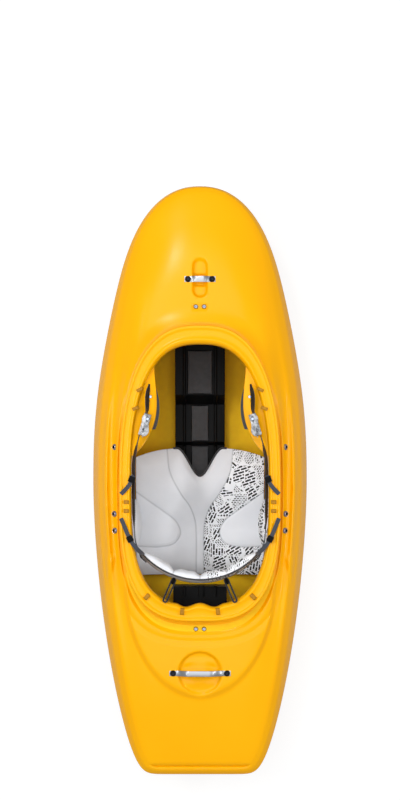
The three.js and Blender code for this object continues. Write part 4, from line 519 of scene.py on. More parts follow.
to_front = ease((rim_along - 0.2) / 0.7)
soft_front = (0.3 * ease((rim_along + 0.1) / 0.6))[:, None]
shoulder = on_hull(46, 28, shoulder_line)
flank = on_hull(19, 9, flank_line)
collar = on_rim(-5, np.where(rim_along > 0, -12, -37), 46 - 12 * to_front)
apron = on_rim(-9, -46, 41 + 3 * to_front)
bead_foot = on_rim(22, 22, 34)
inner_shoulder = on_hull(51, 33, shoulder_line, -WALL)
inner_collar = on_rim(-5, -37, 49)
bottom = rounded([
    (on_hull(320, 230, rocker), 0, 0, 0, 8),
    (on_hull(70, 90, rocker), 0.1, 0.16, 4, 2),
    (on_hull(20, 34, bilge_line), 0.24, 0.24, 4, 2),
    (on_hull(-2, np.where(along > 0, 3, -4), seam_line), 0.3, 0.3, 5, 3),
    (flank, 0.5, 0.4, 6, 2),
    (mix(flank, shoulder, 0.45), 0, 0, 0, 2)])
deck = rounded([
    (mix(flank, shoulder, 0.45), 0, 0, 0, 2),
    (shoulder, 0.6, 0.3, 8, 10),
    (crowned(shoulder, collar), 0.5, 0.5, 40, 26),
    (apron, 0.14, 0.4 + soft_front, 10, 2),
    (collar, 0.5 - soft_front, 0.1, 4, 3)])[:, 1:]
deck[..., 2] += deck_relief(deck[..., 0], deck[..., 1])
rim = rounded([
    (mix(collar, bead_foot, 0.2), 0, 0, 0, 2),
    (bead_foot, 0.3, 0.3, 3, 2),
    (on_rim(22, 22, 11), 0.3, 0.2, 3, 2),
    (on_rim(0, 0, 11), 0.2, 0.3, 3, 1),
    (on_rim(0, 0, 1.8), 0.5, 0.3, 5, 1),
    (across_rim(0.15, 1.2), 0.45, 0.45, 5, 1),
    (across_rim(0.26, 6.2), 0.45, 0.45, 5, 2),
    (across_rim(0.6, 4.8), 0.3, 0.4, 4, 1),
    (across_rim(0.8, -0.6), 0.45, 0.45, 6, 1),
    (across_rim(1, 12), 0.45, 0.3, 4, 2),
    (across_rim(1, 45), 0, 0.3, 1, 1)])
inside = rounded([
    (on_rim(27, 27, 45), 0.3, 0.3, 2, 1),
    (inner_collar, 0.2, 0.2, 2, 4),
    (crowned(inner_shoulder, inner_collar), 0.45, 0.45, 6, 3),
    (inner_shoulder, 0.34, 0.34, 3, 2),
    (on_hull(0, 0, seam_line), 0.3, 0.3, 3, 2),
    (on_hull(25, 39, bilge_line, WALL), 0.2, 0.2, 3, 2),
    (on_hull(75, 95, rocker, WALL), 0.16, 0.1, 4, 10),
    (on_hull(320, 230, rocker, WALL), 0, 0, 0, 1)])
inside[:, 3:16, 2] += np.minimum(deck_relief(inside[:, 3:16, 0], inside[:, 3:16, 1]), 9)
half_hull = np.concatenate([bottom, deck, rim, inside], axis=1)
hull_line = np.concatenate([half_hull, half_hull[-2:0:-1] * (-1, 1, 1)])
for floor_line, lift in ((slice(0, 9), 0), (slice(-11, None), WALL)):
    hull_line[:, floor_line, 2] = rocker(hull_line[:, floor_line, 1]) + lift


def noise(tree, scale, detail, over=None):
    """The value of a noise texture of that scale."""
    return texture(tree, "Noise", scale, {"Detail": detail}, over), "Fac"


def spread(tree, value, low, high, start=0, end=1):
    """A value that runs from start to end, made to run from low to high."""
    return add(tree, "MapRange", {0: value, 1: start, 2: end, 3: low, 4: high}), 0


polyethylene, tree = start_material("yellow_rotomoulded_polyethylene")
# Rotomoulded linear polyethylene: waxy satin gloss, orange-peel ripple a few millimetres across,
# slightly uneven colour where the powder melted, and a fine pebble left by the mould.
melt = noise(tree, 5, 3)
ripple = bump(tree, noise(tree, 160, 2), 0.08, 0.001)
finish_material(tree, between(tree, melt, "#fcae00", "#feb700"), spread(tree, melt, 0.2, 0.27, 0.3, 0.7),
                {"Normal": bump(tree, noise(tree, 900, 1), 0.06, 0.0004, Normal=ripple),
                 "IOR": 1.51, "Specular IOR Level": 0.17})

inner_skin_painted_light, tree = start_material("matt_inner_polyethylene_painted_light")
# The free side of the moulding, away from the mould: matt and a little lumpy. Its yellow is painted lighter and
# more lemon than the hull's, as painted light against the shade and the orange bounce light inside the hull.
lumps = noise(tree, 70, 3)
finish_material(tree, between(tree, lumps, "#f4be00", "#ffd000"), 0.6,
                {"Normal": bump(tree, lumps, 0.3, 0.0015), "Specular IOR Level": 0.25})


def fitted(piece, body, node=None):
    """Sets the body the piece rides on and hides the CAD node it stands for."""
    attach(piece, body)
    if node:
        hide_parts(node)


hull_faces = grid_faces(*hull_line.shape[:2], wrap_rows=True)
within = hull_faces.min(axis=1) % hull_line.shape[1] >= hull_line.shape[1] - inside.shape[1]
fitted(make_object("moulded_hull", hull_line, hull_faces, polyethylene, lined=(inner_skin_painted_light, within)),
       "hull", "hull_shell")


# Thigh hooks: flanges of the same moulding that reach in under the rim beside the paddler's knees,
# each with a row of holes for the thigh pad's screw.
HOOK_REAR, HOOK_FRONT = 70, 335
SCREW_X, SCREW_Y = 144, 244
HOLE_PITCH, HOLE_ROW_ANGLE = 12.7, np.radians(-73)


def hook_top(x, y):
    """Top of a hook: 18 mm below the rim's edge, falling 0.22 mm for each millimetre in from x = 170."""
    return rim_line(y) - 18 - 0.22 * (170 - x)


def hook_points(lift, inset):
    """Hook face on a grid, root to tip: at share s along, the tip reaches in 59 sin(pi s^0.85)^0.9 - 2.5."""
    share = np.linspace(0, 1, 61)[:, None]
    y = mix(HOOK_REAR, HOOK_FRONT, share)
    reach = 59 * np.clip(np.sin(np.pi * share ** 0.85), 0, 1) ** 0.9 - 2.5
    x = mix(inner_edge(y) + WALL, inner_edge(y) + inset - reach, np.linspace(0, 1, 25)[None, :])
    return np.stack(np.broadcast_arrays(x, y, hook_top(x, y) + lift), axis=-1)


hook_ring = np.concatenate([hook_points(0, 0.9), hook_points(-WALL / 2, 0)[:, -1:],
                            hook_points(-WALL, 0.9)[:, ::-1]], axis=1)
hole_row = [(SCREW_X + i * HOLE_PITCH * np.cos(HOLE_ROW_ANGLE),
             SCREW_Y + i * HOLE_PITCH * np.sin(HOLE_ROW_ANGLE)) for i in range(1, 5)]


def bored(piece, cutters):
    """Takes closed cutters out of a piece by Boolean difference, then removes them."""
    for cutter in cutters:
        bore = piece.modifiers.new("bore", "BOOLEAN")
        bore.object = cutter
        bore.operation = "DIFFERENCE"
    bpy.context.view_layer.update()
    piece.data = bpy.data.meshes.new_from_object(piece.evaluated_get(bpy.context.evaluated_depsgraph_get()))
    piece.modifiers.clear()
    for cutter in cutters:
        bpy.data.objects.remove(cutter)


def peg(x, y, z, radius, trim=0):
    """An upright round peg 60 mm tall about z, drawn out by trim fore and aft."""
    plan = oval(radius, radius, 24)
    plan = plan + np.column_stack([np.full(24, x), np.where(plan[:, 1] > 0, y + trim, y - trim)])
    rings = [np.column_stack([plan, np.full(24, z + rise)]) for rise in (-30, 30)]
    return skinned("bore_cutter", np.array(rings), polyethylene)


for _, sign, hook in pair("thigh_hook", hook_ring, polyethylene, 50):
    bored(hook, [peg(sign * hole_x, hole_y, hook_top(hole_x, hole_y), 3.2) for hole_x, hole_y in hole_row])
    fitted(hook, "hull")


# Rim ribs: small moulded pads on the rim's inner slope, four at the rear, two at each side and two
# at each side ahead of the buckles; part of the same moulding. RIBS holds x, y, turn and half sizes.
RIB_STEPS = 13
RIBS = ((52, -379, 0.1, (6, 10)), (154, -336, 0.75, (6, 10)), (213, -61, 1.57, (5.5, 8)),
        (213, -87, 1.57, (5.5, 8)), (174, 264, 1.05, (5, 10)), (186, 210, 1.2, (5, 10)))


def pillow(centre, half, turn):
    """A raised pad, turned in plan: height 6 ((1 - |u|^10) (1 - |v|^10))^0.5."""
    u, v = np.meshgrid(*[np.linspace(-1, 1, RIB_STEPS)] * 2, indexing="ij")
    x = u * half[0] * np.cos(turn) - v * half[1] * np.sin(turn)
    y = u * half[0] * np.sin(turn) + v * half[1] * np.cos(turn)
    top = 6 * ((1 - np.abs(u) ** 10) * (1 - np.abs(v) ** 10)) ** 0.5
    return np.stack([centre[0] + x, centre[1] + y, centre[2] + top], axis=-1)


rib_points = np.stack([pillow((sign * x, y, rim_line(y) - 3), half, sign * turn)
                       for x, y, turn, half in RIBS for sign in (-1, 1)])
rib_faces = np.concatenate([grid_faces(RIB_STEPS, RIB_STEPS, start=RIB_STEPS ** 2 * i)
                            for i in range(len(rib_points))])
shaded_rib_plastic, tree = start_material("rib_plastic_painted_shade")
# The same plastic, duller and with fine sink marks; its deep, dark yellow is painted shade on the ribs.
sink = noise(tree, 130, 2)
finish_material(tree, between(tree, sink, "#a06c00", "#ba8200"), 0.5,
                {"Normal": bump(tree, sink, 0.2, 0.001), "Specular IOR Level": 0.3})
fitted(make_object("rim_ribs", rib_points, rib_faces, shaded_rib_plastic, outward=False), "hull")


# Grab handles: 4 mm flat bars of satin anodised aluminium with rounded edges, arched for the fingers,
# bolted through the deck at both ends.
aluminium, tree = start_material("satin_anodised_aluminium")
# Extruded bar, tumbled and clear anodised: near white, soft long highlights, hair lines along the bar.
stretch = add(tree, "Mapping", {"Vector": (add(tree, "TexCoord"), "Object"), "Scale": (14, 700, 700)})
hairs = noise(tree, 1, 3, (stretch, 0))
finish_material(tree, colour("#a4a8ae"), spread(tree, hairs, 0.3, 0.42),
                {"Metallic": 1.0, "Normal": bump(tree, hairs, 0.12, 0.0003)})


def softened(node, name, material, width, crease, segments):
    """A copy of a CAD node with merged corners, flats made whole and every edge rounded to that width in mm."""
    mesh = bpy.data.meshes.new(name)
    cleaned(mesh, frame["nodes"][node].data, 0.00001, flats=True)
    mesh.materials.clear()
    mesh.materials.append(material)
    made = linked(name, mesh)
    edge = made.modifiers.new("rounded_edges", "BEVEL")
    edge.width = width * MM
    edge.segments = segments
    edge.limit_method = "ANGLE"
    edge.angle_limit = np.radians(crease)
    edge.harden_normals = True
    fitted(made, body_of(frame["nodes"][node])[0], node)


for end in ("bow", "stern"):
    softened(f"{end}_handle", f"{end}_grab_bar", aluminium, 1.2, 30, 3)


# Fasteners: stainless button-head bolts with a socket, on cup washers where they clamp the side deck;
# the handles' bolts are black oxide. Nuts close the ones that go through; the rest have a tapering tip.
SHOULDER_HEIGHT, SHOULDER_HALF_WIDTH = 268, 274
COLLAR_DROP, COLLAR_HALF_WIDTH, DECK_DIP = 44, 238, 9
deck_climb = (rim_line(0) - COLLAR_DROP - SHOULDER_HEIGHT) / 2 + DECK_DIP
side_tilt = np.arctan2(deck_climb, (SHOULDER_HALF_WIDTH - COLLAR_HALF_WIDTH) / 2)
side_axis = np.array([np.sin(side_tilt), 0, np.cos(side_tilt)])



def painted(tree, name):
    """The share that is painted on the piece under that name."""
    return add(tree, "Attribute", attribute_name=name), "Fac"


stainless, tree = start_material("polished_stainless_steel")
# Cold-headed A2 stainless: bright, fingerprints in the gloss. Its blue-grey is a painted reflection, and the
# sockets are painted near black as painted shade in the recess.
prints = noise(tree, 220, 3)
reflection_tint_and_socket_shade = between(tree, painted(tree, "socket"), "#a9b5cc", "#101522")
finish_material(tree, reflection_tint_and_socket_shade, spread(tree, prints, 0.14, 0.3),
                {"Metallic": 1.0, "Normal": bump(tree, prints, 0.08, 0.0004)})

black_oxide, tree = start_material("black_oxide_steel")
# Blackened alloy steel: blue-black, oily satin, cloudy where the oil has dried.
oil = noise(tree, 400, 2)
finish_material(tree, between(tree, oil, "#141922", "#2c3442"), spread(tree, oil, 0.3, 0.48),
                {"Metallic": 0.85})


def paint(piece, name, function):
    """A share from 0 to 1 on every point of the piece, from a function of its (x, y, z) in millimetres."""
    places = np.empty(len(piece.data.vertices) * 3)
    piece.data.vertices.foreach_get("co", places)
    shares = function(*(places.reshape(-1, 3).T / MM))
    layer = piece.data.attributes.new(name, "FLOAT", "POINT")
    layer.data.foreach_set("value", np.asarray(shares, dtype=np.float32))


def turned(name, profile, axis, middle, material, sides=32):
    """A lathe-made piece: (radius, reach) points turned about the line through middle along axis."""
    across = unit(np.cross(axis, (0, 1, 0)))
    forward = np.cross(axis, across)
    angle = np.linspace(0, 2 * np.pi, sides, endpoint=False)[:, None, None]
    radius, reach = np.asarray(profile, dtype=float).T[:, None, :, None]
    points = middle + axis * reach + radius * (np.cos(angle) * across + np.sin(angle) * forward)
    return make_object(name, points, grid_faces(sides, len(profile), wrap_rows=True), material, 35)


def fastener_line(node):
    """The line of a fastener's node: its axis, a point on it, and the node's lowest and highest reach."""
    points = np.array([vertex.co for vertex in frame["nodes"][node].data.vertices]) / MM
    leaning = abs(points[:, 0].mean()) > 200
    axis = side_axis * (np.sign(points[:, 0].mean()), 1, 1) if leaning else np.array([0, 0, 1.0])
    reach = points @ axis
    return axis, (points - reach[:, None] * axis).mean(axis=0), reach.min(), reach.max()


def bolt_profile(low, high, nut, cup):
    """Profile of a bolt from its tip to its socket: nut or tapering tip, shank, washer, dome and socket."""
    tip = [(0, 0), (4, 0), (6.8, 0.6), (6.8, 5.4), (4, 6)] if nut else [(0, 0), (3.4, 2)]
    reach = 9 if nut else 7.2
    head = [(4, 0), (reach, 0), (reach, 2.2 if cup else 0.8), (reach - 0.8, 3.4 if cup else 2), (6.9, 1.4),
            (6.5, 1.6), (6.3, 3), (5.6, 4.6), (4.6, 5.6), (4, 6), (3.8, 5.8), (3.6, 3), (0, 2.6)]
    return [(radius, low + rise) for radius, rise in tip] + [(radius, high - 6 + rise) for radius, rise in head]


for stem, word, nut, material in (("bow_handle_bolt", "bow_bar_bolt", True, black_oxide),
                                  ("stern_handle_bolt", "stern_bar_bolt", True, black_oxide),
                                  ("front_pillar_screw", "front_deck_screw", False, stainless),
                                  ("rear_pillar_screw", "rear_deck_screw", False, stainless),
                                  ("seat_bolt_front", "seat_bolt_ahead", True, stainless),
                                  ("seat_bolt_rear", "seat_bolt_behind", True, stainless),
                                  ("brace_bolt", "knee_brace_bolt", True, stainless)):
    dark_radius = 4.2 if nut else 2.2
    for side_name, sign in SIDES:
        axis, middle, low, high = fastener_line(f"{stem}_{side_name}")
        profile = bolt_profile(low, high, nut, abs(middle[0]) > 200)
        bolt = turned(f"{word}_{side_name}", profile, axis, middle, material)
        # painted shade: points nearer the axis than dark_radius, in the socket's recess, take the near black
        paint(bolt, "socket", lambda x, y, z: np.linalg.norm(
            np.cross(np.column_stack([x, y, z]) - middle, axis), axis=1) < dark_radius)
        fitted(bolt, "hull", f"{stem}_{side_name}")


# Pillars: the beam down the middle of the floor and the block under the rear deck, moulded in black
# polyethylene; rails along the beam's top hold the foam.
moulded_black, tree = start_material("black_moulded_polyethylene")
# Black mould-textured plastic: fine leather-like pebble and a dull satin, greyer on its high spots.
pebble = (texture(tree, "Voronoi", 620), "Distance")
scuff = noise(tree, 30, 4)
finish_material(tree, between(tree, scuff, "#040404", "#0c0c0d"), spread(tree, scuff, 0.38, 0.55),
                {"Normal": bump(tree, pebble, 0.25, 0.0005), "Specular IOR Level": 0.1})


def beam_height(y):
    """Height of the beam's top: level runs at 30, 56 and 104 mm joined by eased steps."""
    low, middle, high = 30, 56, 104
    return low + (middle - low) * ease((y - 106) / 16) + (high - middle) * ease((y - 230) / 30)


for node, name in (("front_pillar", "front_beam_and_pillar"), ("rear_pillar", "rear_pillar_block")):
    softened(node, name, moulded_black, 5, 40, 4)

rail_y = np.concatenate([np.linspace(12, 104, 8), np.linspace(108, 120, 6), np.linspace(130, 228, 8),
                         np.linspace(232, 262, 8), np.linspace(275, 436, 10)])
arch = np.linspace(0, np.pi, 9)
rail_section = np.column_stack([5.5 * np.cos(arch), 4.5 * np.sin(arch) - 1])
for side_name, sign in SIDES:
    rail_path = np.column_stack([np.full_like(rail_y, 47.0 * sign), rail_y, beam_height(rail_y)])
    rail = skinned(f"beam_rail_{side_name}", swept(rail_path, rail_section), moulded_black)
    fitted(rail, "hull")


# Rear block: a key and two ribs stand on its nose, ahead of a sloped ledge.
BLOCK_TOP = 150.0
key_y = np.linspace(-345, -313, 12)
key_section = np.array([[-9, -1], [-9, 3], [-8, 4.4], [-6, 5], [6, 5], [8, 4.4], [9, 3], [9, -1]])
for name, key_x, breadth in (("key", 4, 1), ("rib_left", -46, 0.45), ("rib_right", 46, 0.45)):
    key_path = np.column_stack([np.full_like(key_y, key_x), key_y, np.full_like(key_y, BLOCK_TOP)])
    fitted(skinned(f"rear_block_{name}", swept(key_path, key_section * (breadth, 1)), moulded_black),
           "hull")


# Pillar foam: three blocks of black closed-cell foam let into the beam, sides pulled in, tops crowned,
# and a foot block of the same foam at each side.
black_foam, tree = start_material("black_closed_cell_foam")
# Cross-linked polyethylene foam: matt charcoal, skin with open cells about a millimetre across.
cells = (texture(tree, "Voronoi", 950), "Distance")
finish_material(tree, between(tree, noise(tree, 60, 3), "#38383a", "#4b4b4d"), 0.88,
                {"Normal": bump(tree, cells, 0.5, 0.0006), "Sheen Weight": 0.15})


def two_faced(name, top, base, material, crease=None):
    """A closed piece from two grids of the same size: top and base faces and a skirt between their borders."""
    rows, columns = top.shape[:2]
    count = rows * columns
    index = np.arange(count).reshape(rows, columns)
    ring = np.concatenate([index[:-1, 0], index[-1, :-1], index[:0:-1, -1], index[0, :0:-1]])
    following = np.roll(ring, -1)
    skirt = np.column_stack([ring, following, following + count, ring + count])
    faces = np.concatenate([grid_faces(rows, columns), grid_faces(rows, columns, start=count)[:, ::-1], skirt])
    return make_object(name, np.concatenate([top.reshape(-1, 3), base.reshape(-1, 3)]), faces, material, crease)


def cushion(name, low, high, material, edge=3.5, crown=1.2, pinch=0.02):
    """A foam block between two corners: its top falls by crown towards its border, its rim is rounded over
    edge millimetres, and its sides pull in by the share pinch half way between the corners."""
    u, v = (np.sin(grid * np.pi / 2) for grid in
            np.meshgrid(np.linspace(-1, 1, 22), np.linspace(-1, 1, 30), indexing="ij"))
    half, middle = (high - low) / 2, (high + low) / 2
    border = np.minimum((1 - np.abs(u)) * half[0], (1 - np.abs(v)) * half[1])
    round_off = edge * (1 - np.sqrt(1 - np.clip(1 - border / edge, 0, 1) ** 2))
    x = middle[0] + u * half[0] * (1 - pinch * (1 - v ** 2))
    y = middle[1] + v * half[1] * (1 - pinch * (1 - u ** 2))
    top = high[2] - round_off - crown * (u ** 2 + v ** 2 - u ** 2 * v ** 2)
    base = low[2] + np.minimum(round_off, 1.5)
    return two_faced(name, np.stack([x, y, top], axis=-1), np.stack([x, y, base], axis=-1), material)


for place in ("front", "middle", "rear"):
    low, high = (np.array(corner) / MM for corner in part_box(f"pillar_pad_{place}"))
    fitted(cushion(f"beam_foam_{place}", low, high, black_foam), "hull", f"pillar_pad_{place}")
for side_name, sign in SIDES:
    softened(f"foot_block_{side_name}", f"foot_foam_{side_name}", black_foam, 6, 40, 4)


# Seat: a black moulded pan on the floor, under a moulded foam pad faced with pale grey cloth.
# The pad's right half carries a woven-in black and white print; a dark binding closes its front notch.
SEAT_HALF_WIDTH, SEAT_REAR = 192, -284
SEAT_LOBE_FRONT, SEAT_CORNER_FRONT, SEAT_NOTCH_FRONT, SEAT_LOBE_SHARE = 98, 71, 14, 0.36
CENTRE_SEAM = np.array([[0.52, 1], [0.47, 0.81], [0.3, 0.64], [0.16, 0.54], [0.09, 0.45], [0.065, 0.38],
                        [0.06, 0]])
HIP_FLAP = np.array([[1, 0.66], [0.8, 0.585], [0.57, 0.5], [0.38, 0.42], [0.31, 0.33], [0.4, 0.25],
                     [0.65, 0.22], [1, 0.23]])


def smooth_route(stops, count):
    """A smooth curve through stops at even steps of a centripetal Catmull-Rom spline, as whole arrays."""
    stops = np.asarray(stops, dtype=float)
    padded = np.concatenate([2 * stops[:1] - stops[1:2], stops, 2 * stops[-1:] - stops[-2:-1]])
    t = np.linspace(0, len(stops) - 1, count)
    i = np.minimum(t.astype(int), len(stops) - 2)
    f = (t - i)[:, None]
    p0, p1, p2, p3 = (padded[i + k] for k in range(4))
    d01, d12, d23 = (np.sqrt(np.linalg.norm(b - a, axis=1, keepdims=True))
                     for a, b in ((p0, p1), (p1, p2), (p2, p3)))
    m1 = (p2 - p1) - d12 * ((p2 - p0) / (d01 + d12) - (p1 - p0) / d01)
    m2 = (p2 - p1) - d12 * ((p3 - p1) / (d12 + d23) - (p3 - p2) / d23)
    return ((2 * f ** 3 - 3 * f ** 2 + 1) * p1 + (f ** 3 - 2 * f ** 2 + f) * m1
            + (3 * f ** 2 - 2 * f ** 3) * p2 + (f ** 3 - f ** 2) * m2)


def distance_to(x, y, line):
    """Distance from points to a line of stops, the nearest over all of its stretches."""
    start, stretch = line[:-1], np.diff(line, axis=0)
    from_start = np.stack([x, y], axis=-1)[..., None, :] - start
    share = np.clip((from_start * stretch).sum(-1) / (stretch ** 2).sum(-1), 0, 1)
    return np.linalg.norm(from_start - share[..., None] * stretch, axis=-1).min(axis=-1)


def seat_rise(x, y):
    """Underside of the pan: 5.6 mm, plus 55 mm eased over 170 mm ahead of y = -150, plus 60 |x / 192|^3.5."""
    return 5.6 + 55 * ease((y + 150) / 170) + 60 * np.abs(x / SEAT_HALF_WIDTH) ** 3.5


def seat_front(share):
    """Front edge: eased from the notch at 14 mm to the lobes at 98 mm, then falling to 71 mm at the corners."""
    side = np.abs(share)
    lobe = mix(SEAT_NOTCH_FRONT, SEAT_LOBE_FRONT, ease(side / SEAT_LOBE_SHARE))
    beyond = np.clip((side - SEAT_LOBE_SHARE) / (1 - SEAT_LOBE_SHARE), 0, 1)
    return np.where(side < SEAT_LOBE_SHARE, lobe, mix(SEAT_LOBE_FRONT, SEAT_CORNER_FRONT, beyond ** 2))


def seat_grid(rows, columns, inset):
    """(x, y, share, along) over the seat's plan, inset from its edges, closer together near them."""
    along, share = np.meshgrid(np.linspace(0, 1, rows), np.linspace(-1, 1, columns), indexing="ij")
    along = mix(along, ease(along), 0.35)
    edge = SEAT_HALF_WIDTH - inset
    x = np.clip(share * SEAT_HALF_WIDTH, -edge, edge)
    front = seat_front(share)
    y = np.clip(mix(SEAT_REAR, front, along), SEAT_REAR + inset, front - inset)
    return x, y, share, along


pan_x, pan_y = seat_grid(60, 60, 4)[:2]
pan_faces = [np.stack([pan_x, pan_y, seat_rise(pan_x, pan_y) + lift], axis=-1) for lift in (4, 0)]
fitted(two_faced("seat_base_pan", *pan_faces, moulded_black, 40), "seat", "seat_pan")

cloth, tree = start_material("grey_laminated_seat_cloth")
# Knitted polyester laminated to foam: pale grey, 1.2 mm stitches, soft sheen. The print is a generic
# dazzle of broken black bars: patches of about 45 mm each carry bars 8 mm or 5 mm apart in their own direction.
PATCH_SCALE = 23
INK, BARE = (0, 0, 0, 1), WHITE
knit = maths(tree, "ADD", *[(texture(tree, "Wave", 260, {"Distortion": 1.2, "Detail Scale": 2.0},
                                     bands_direction=way), "Fac") for way in "XY"])
# painted light: the plain grey is lighter and faintly blue, against the shade in the cockpit and the yellow light
# bounced from the hull
plain = between(tree, noise(tree, 14, 4), "#dfe2e8", "#eff1f5")
patches, second_patches = (texture(tree, "Voronoi", PATCH_SCALE, {"Randomness": 0.85}, distance="CHEBYCHEV",
                                   feature=feature) for feature in ("F1", "F2"))
patch = add(tree, "SeparateColor", {0: (patches, "Color")})
own_way = maths(tree, "MULTIPLY", (patch, 0), 6.2832)
swing = add(tree, "VectorRotate", {"Vector": (add(tree, "TexCoord"), "Object"), "Angle": own_way},
            rotation_type="Z_AXIS")
broad, fine = (
    (texture(tree, "Brick", 1.0, {"Color1": INK, "Color2": second, "Mortar": BARE, "Mortar Size": seam,
                                  "Mortar Smooth": 0.02, "Brick Width": width, "Row Height": height,
                                  "Bias": bias}, (swing, 0)), "Color")
    for second, seam, width, height, bias in ((INK, 0.0017, 0.021, 0.0085, 0),
                                              (BARE, 0.0012, 0.009, 0.0055, -0.3)))
bars = between(tree, maths(tree, "GREATER_THAN", (patch, 1), 0.55), broad, fine)
gap = maths(tree, "SUBTRACT", (second_patches, "Distance"), (patches, "Distance"))
dazzle = maths(tree, "MAXIMUM", (add(tree, "SeparateColor", {0: bars}), 0), maths(tree, "LESS_THAN", gap, 0.06))
printed = between(tree, dazzle, "#0d0d0f", "#f4f6fa")
faced = between(tree, painted(tree, "print"), plain, printed)
# painted shade: the crease attribute darkens the cloth towards #85888e
crease_shaded_cloth = between(tree, painted(tree, "crease"), faced, "#85888e")
finish_material(tree, crease_shaded_cloth, 0.74, {"Normal": bump(tree, knit, 0.25, 0.0005), "Sheen Weight": 0.2,
                                     "Sheen Roughness": 0.4})

centre_seam, hip_flap = (
    smooth_route(shares * (SEAT_HALF_WIDTH, SEAT_LOBE_FRONT - SEAT_REAR) + (0, SEAT_REAR), 60)
    for shares in (CENTRE_SEAM, HIP_FLAP))


def seam_gaps(x, y):
    """Distances to the centre seam and to the hip flap's seam, the same at both sides."""
    return [distance_to(np.abs(x), y, line) for line in (centre_seam, hip_flap)]


def pad_face(x, y, share, along):
    """Top of the pad: 12 mm over the pan's underside at its border and 24 mm inside, less a broad hollow and a
    stitched crease along the centre seam and the hip flap, plus a line of piping inside the flap."""
    inside = ease(np.minimum(1 - np.abs(share), np.minimum(along, 1 - along)) / 0.12)
    seam, flap = seam_gaps(x, y)
    near = np.minimum(seam, flap)
    channel = 2.6 * ease(1 - near / 20) + 1.8 * np.exp(-(near / 2) ** 2)
    piping = 0.9 * np.exp(-((flap - 8) / 2.2) ** 2)
    return seat_rise(x, y) + 5 + mix(7, 19, np.sqrt(inside)) - (channel - piping) * inside


x, y, share, along_seat = seat_grid(170, 170, 0)
seat_pad = two_faced("seat_pad_cover", np.stack([x, y, pad_face(x, y, share, along_seat)], axis=-1),
                     np.stack([x, y, seat_rise(x, y) + 5], axis=-1), cloth)


def seat_print(x, y, z):
    """The print covers the right half from the centre seam to the side, apart from the hip flap."""
    order = np.argsort(centre_seam[:, 1])
    printed_side = x > np.interp(y, centre_seam[order, 1], centre_seam[order, 0])
    ahead = hip_flap[:, 1] > -160
    front_edge, rear_edge = (np.interp(x, part[:, 0], part[:, 1])
                             for part in (hip_flap[ahead][::-1], hip_flap[~ahead]))
    in_flap = (x > hip_flap[:, 0].min()) & (y < front_edge) & (y > rear_edge)
    return printed_side & ~in_flap


def covered(piece, printed, crease_shade, body, node):
    """Paints where the cloth on a piece is printed and where it takes painted shade in its creases, and fits the
    piece.
    """
    paint(piece, "print", printed)
    paint(piece, "crease", crease_shade)
    fitted(piece, body, node)


# painted shade in the creases along the centre seam and the hip flap
covered(seat_pad, seat_print, lambda x, y, z: 0.55 * np.exp(-(np.minimum(*seam_gaps(x, y)) / 1.6) ** 2),
        "seat", "seat_pad")

binding, tree = start_material("dark_bound_edge_tape")
# Folded polyester tape sewn round the edge: charcoal, ribbed every 1.5 mm across its run.
ribs = (texture(tree, "Wave", 210, bands_direction="DIAGONAL"), "Fac")
finish_material(tree, between(tree, ribs, "#2a2a2c", "#414144"), 0.8,
                {"Normal": bump(tree, ribs, 0.4, 0.0004), "Sheen Weight": 0.2})

trim_share = np.linspace(-0.42, 0.42, 70)
trim_x, trim_y = trim_share * SEAT_HALF_WIDTH, seat_front(trim_share) + 0.5
trim_path = np.column_stack([trim_x, trim_y, seat_rise(trim_x, trim_y) + 9])
fitted(skinned("seat_notch_binding", swept(trim_path, oval(3.6, 6, 14)), binding), "seat")


# Hip plates and pads: a bent aluminium bracket each side bolts the seat to the side deck, with a
# crescent cushion of the same cloth on its inner face; the right one is printed.
HIP_FACE, HIP_REAR, HIP_FRONT = 200.7, -206, -52
HIP_HEIGHT, HIP_HALF_HEIGHT = 177, 85
stations = np.linspace(0, 1, 49)[:, None]
swell = np.clip(np.sin(np.pi * stations), 0, 1) ** 0.7
angle = np.linspace(0, np.pi, 41)[None, :]
depth = mix(7, 28, swell) * np.clip(np.sin(angle), 0, 1) ** 0.6
stitching = 2.5 * np.exp(-(((angle - 1.9) / 0.06) ** 2)) * swell
hip_z = HIP_HEIGHT - HIP_HALF_HEIGHT * mix(0.6, 1, swell) * np.cos(angle)
hip_y = mix(HIP_REAR, HIP_FRONT, stations)
hip_rings = np.stack(np.broadcast_arrays(HIP_FACE - depth + stitching, hip_y, hip_z), axis=-1)
for side_name, sign in SIDES:
    softened(f"hip_plate_{side_name}", f"hip_bracket_{side_name}", aluminium, 0.8, 40, 2)
    hip_pad = skinned(f"hip_cushion_{side_name}", hip_rings * (sign, 1, 1), cloth, 60)
    covered(hip_pad, lambda x, y, z: x > 0, lambda x, y, z: 0 * x, "seat", f"hip_pad_{side_name}")


# Back band: a flexible shell covered in the same cloth behind, a quilted pad in four lobes in front,
# and a broad binding over its top edge. The cords' locks sit at its back.
QUILT_SEAMS = np.array([-0.42, 0, 0.42])


def band_base(share):
    """Lower edge: 98 mm up in the middle, 178 mm at the ends, by |share|^1.6."""
    return mix(BAND_BASE, BAND_END_BASE, np.abs(share) ** 1.6)


def to_quilt_seam(share):
    """Distance to the nearest seam of the quilting, as a share of the band's half."""
    return np.min(np.abs(share[..., None] - QUILT_SEAMS), axis=-1)


def band_print(x, y, z):
    """The print starts about 26 mm right of the middle, along a wave."""
    return x > 26 + 10 * np.sin(z / 22)


share = np.linspace(-0.98, 0.98, 121)[:, None]
angle = np.linspace(0, 2 * np.pi, 25)[None, :-1]
shell_z = mix(band_base(share) + 8, BAND_TOP - 8.0, 0.5 - 0.5 * np.cos(angle))
shell_rings = band_point(share, shell_z, BAND_RADIUS + 2.1 + 1.5 * np.sin(angle))
# the whole back cover takes 0.15 of the painted crease shade
covered(skinned("back_band_cover", shell_rings, cloth, 60), band_print, lambda x, y, z: 0 * x + 0.15,
        "back_band", "back_band_shell")

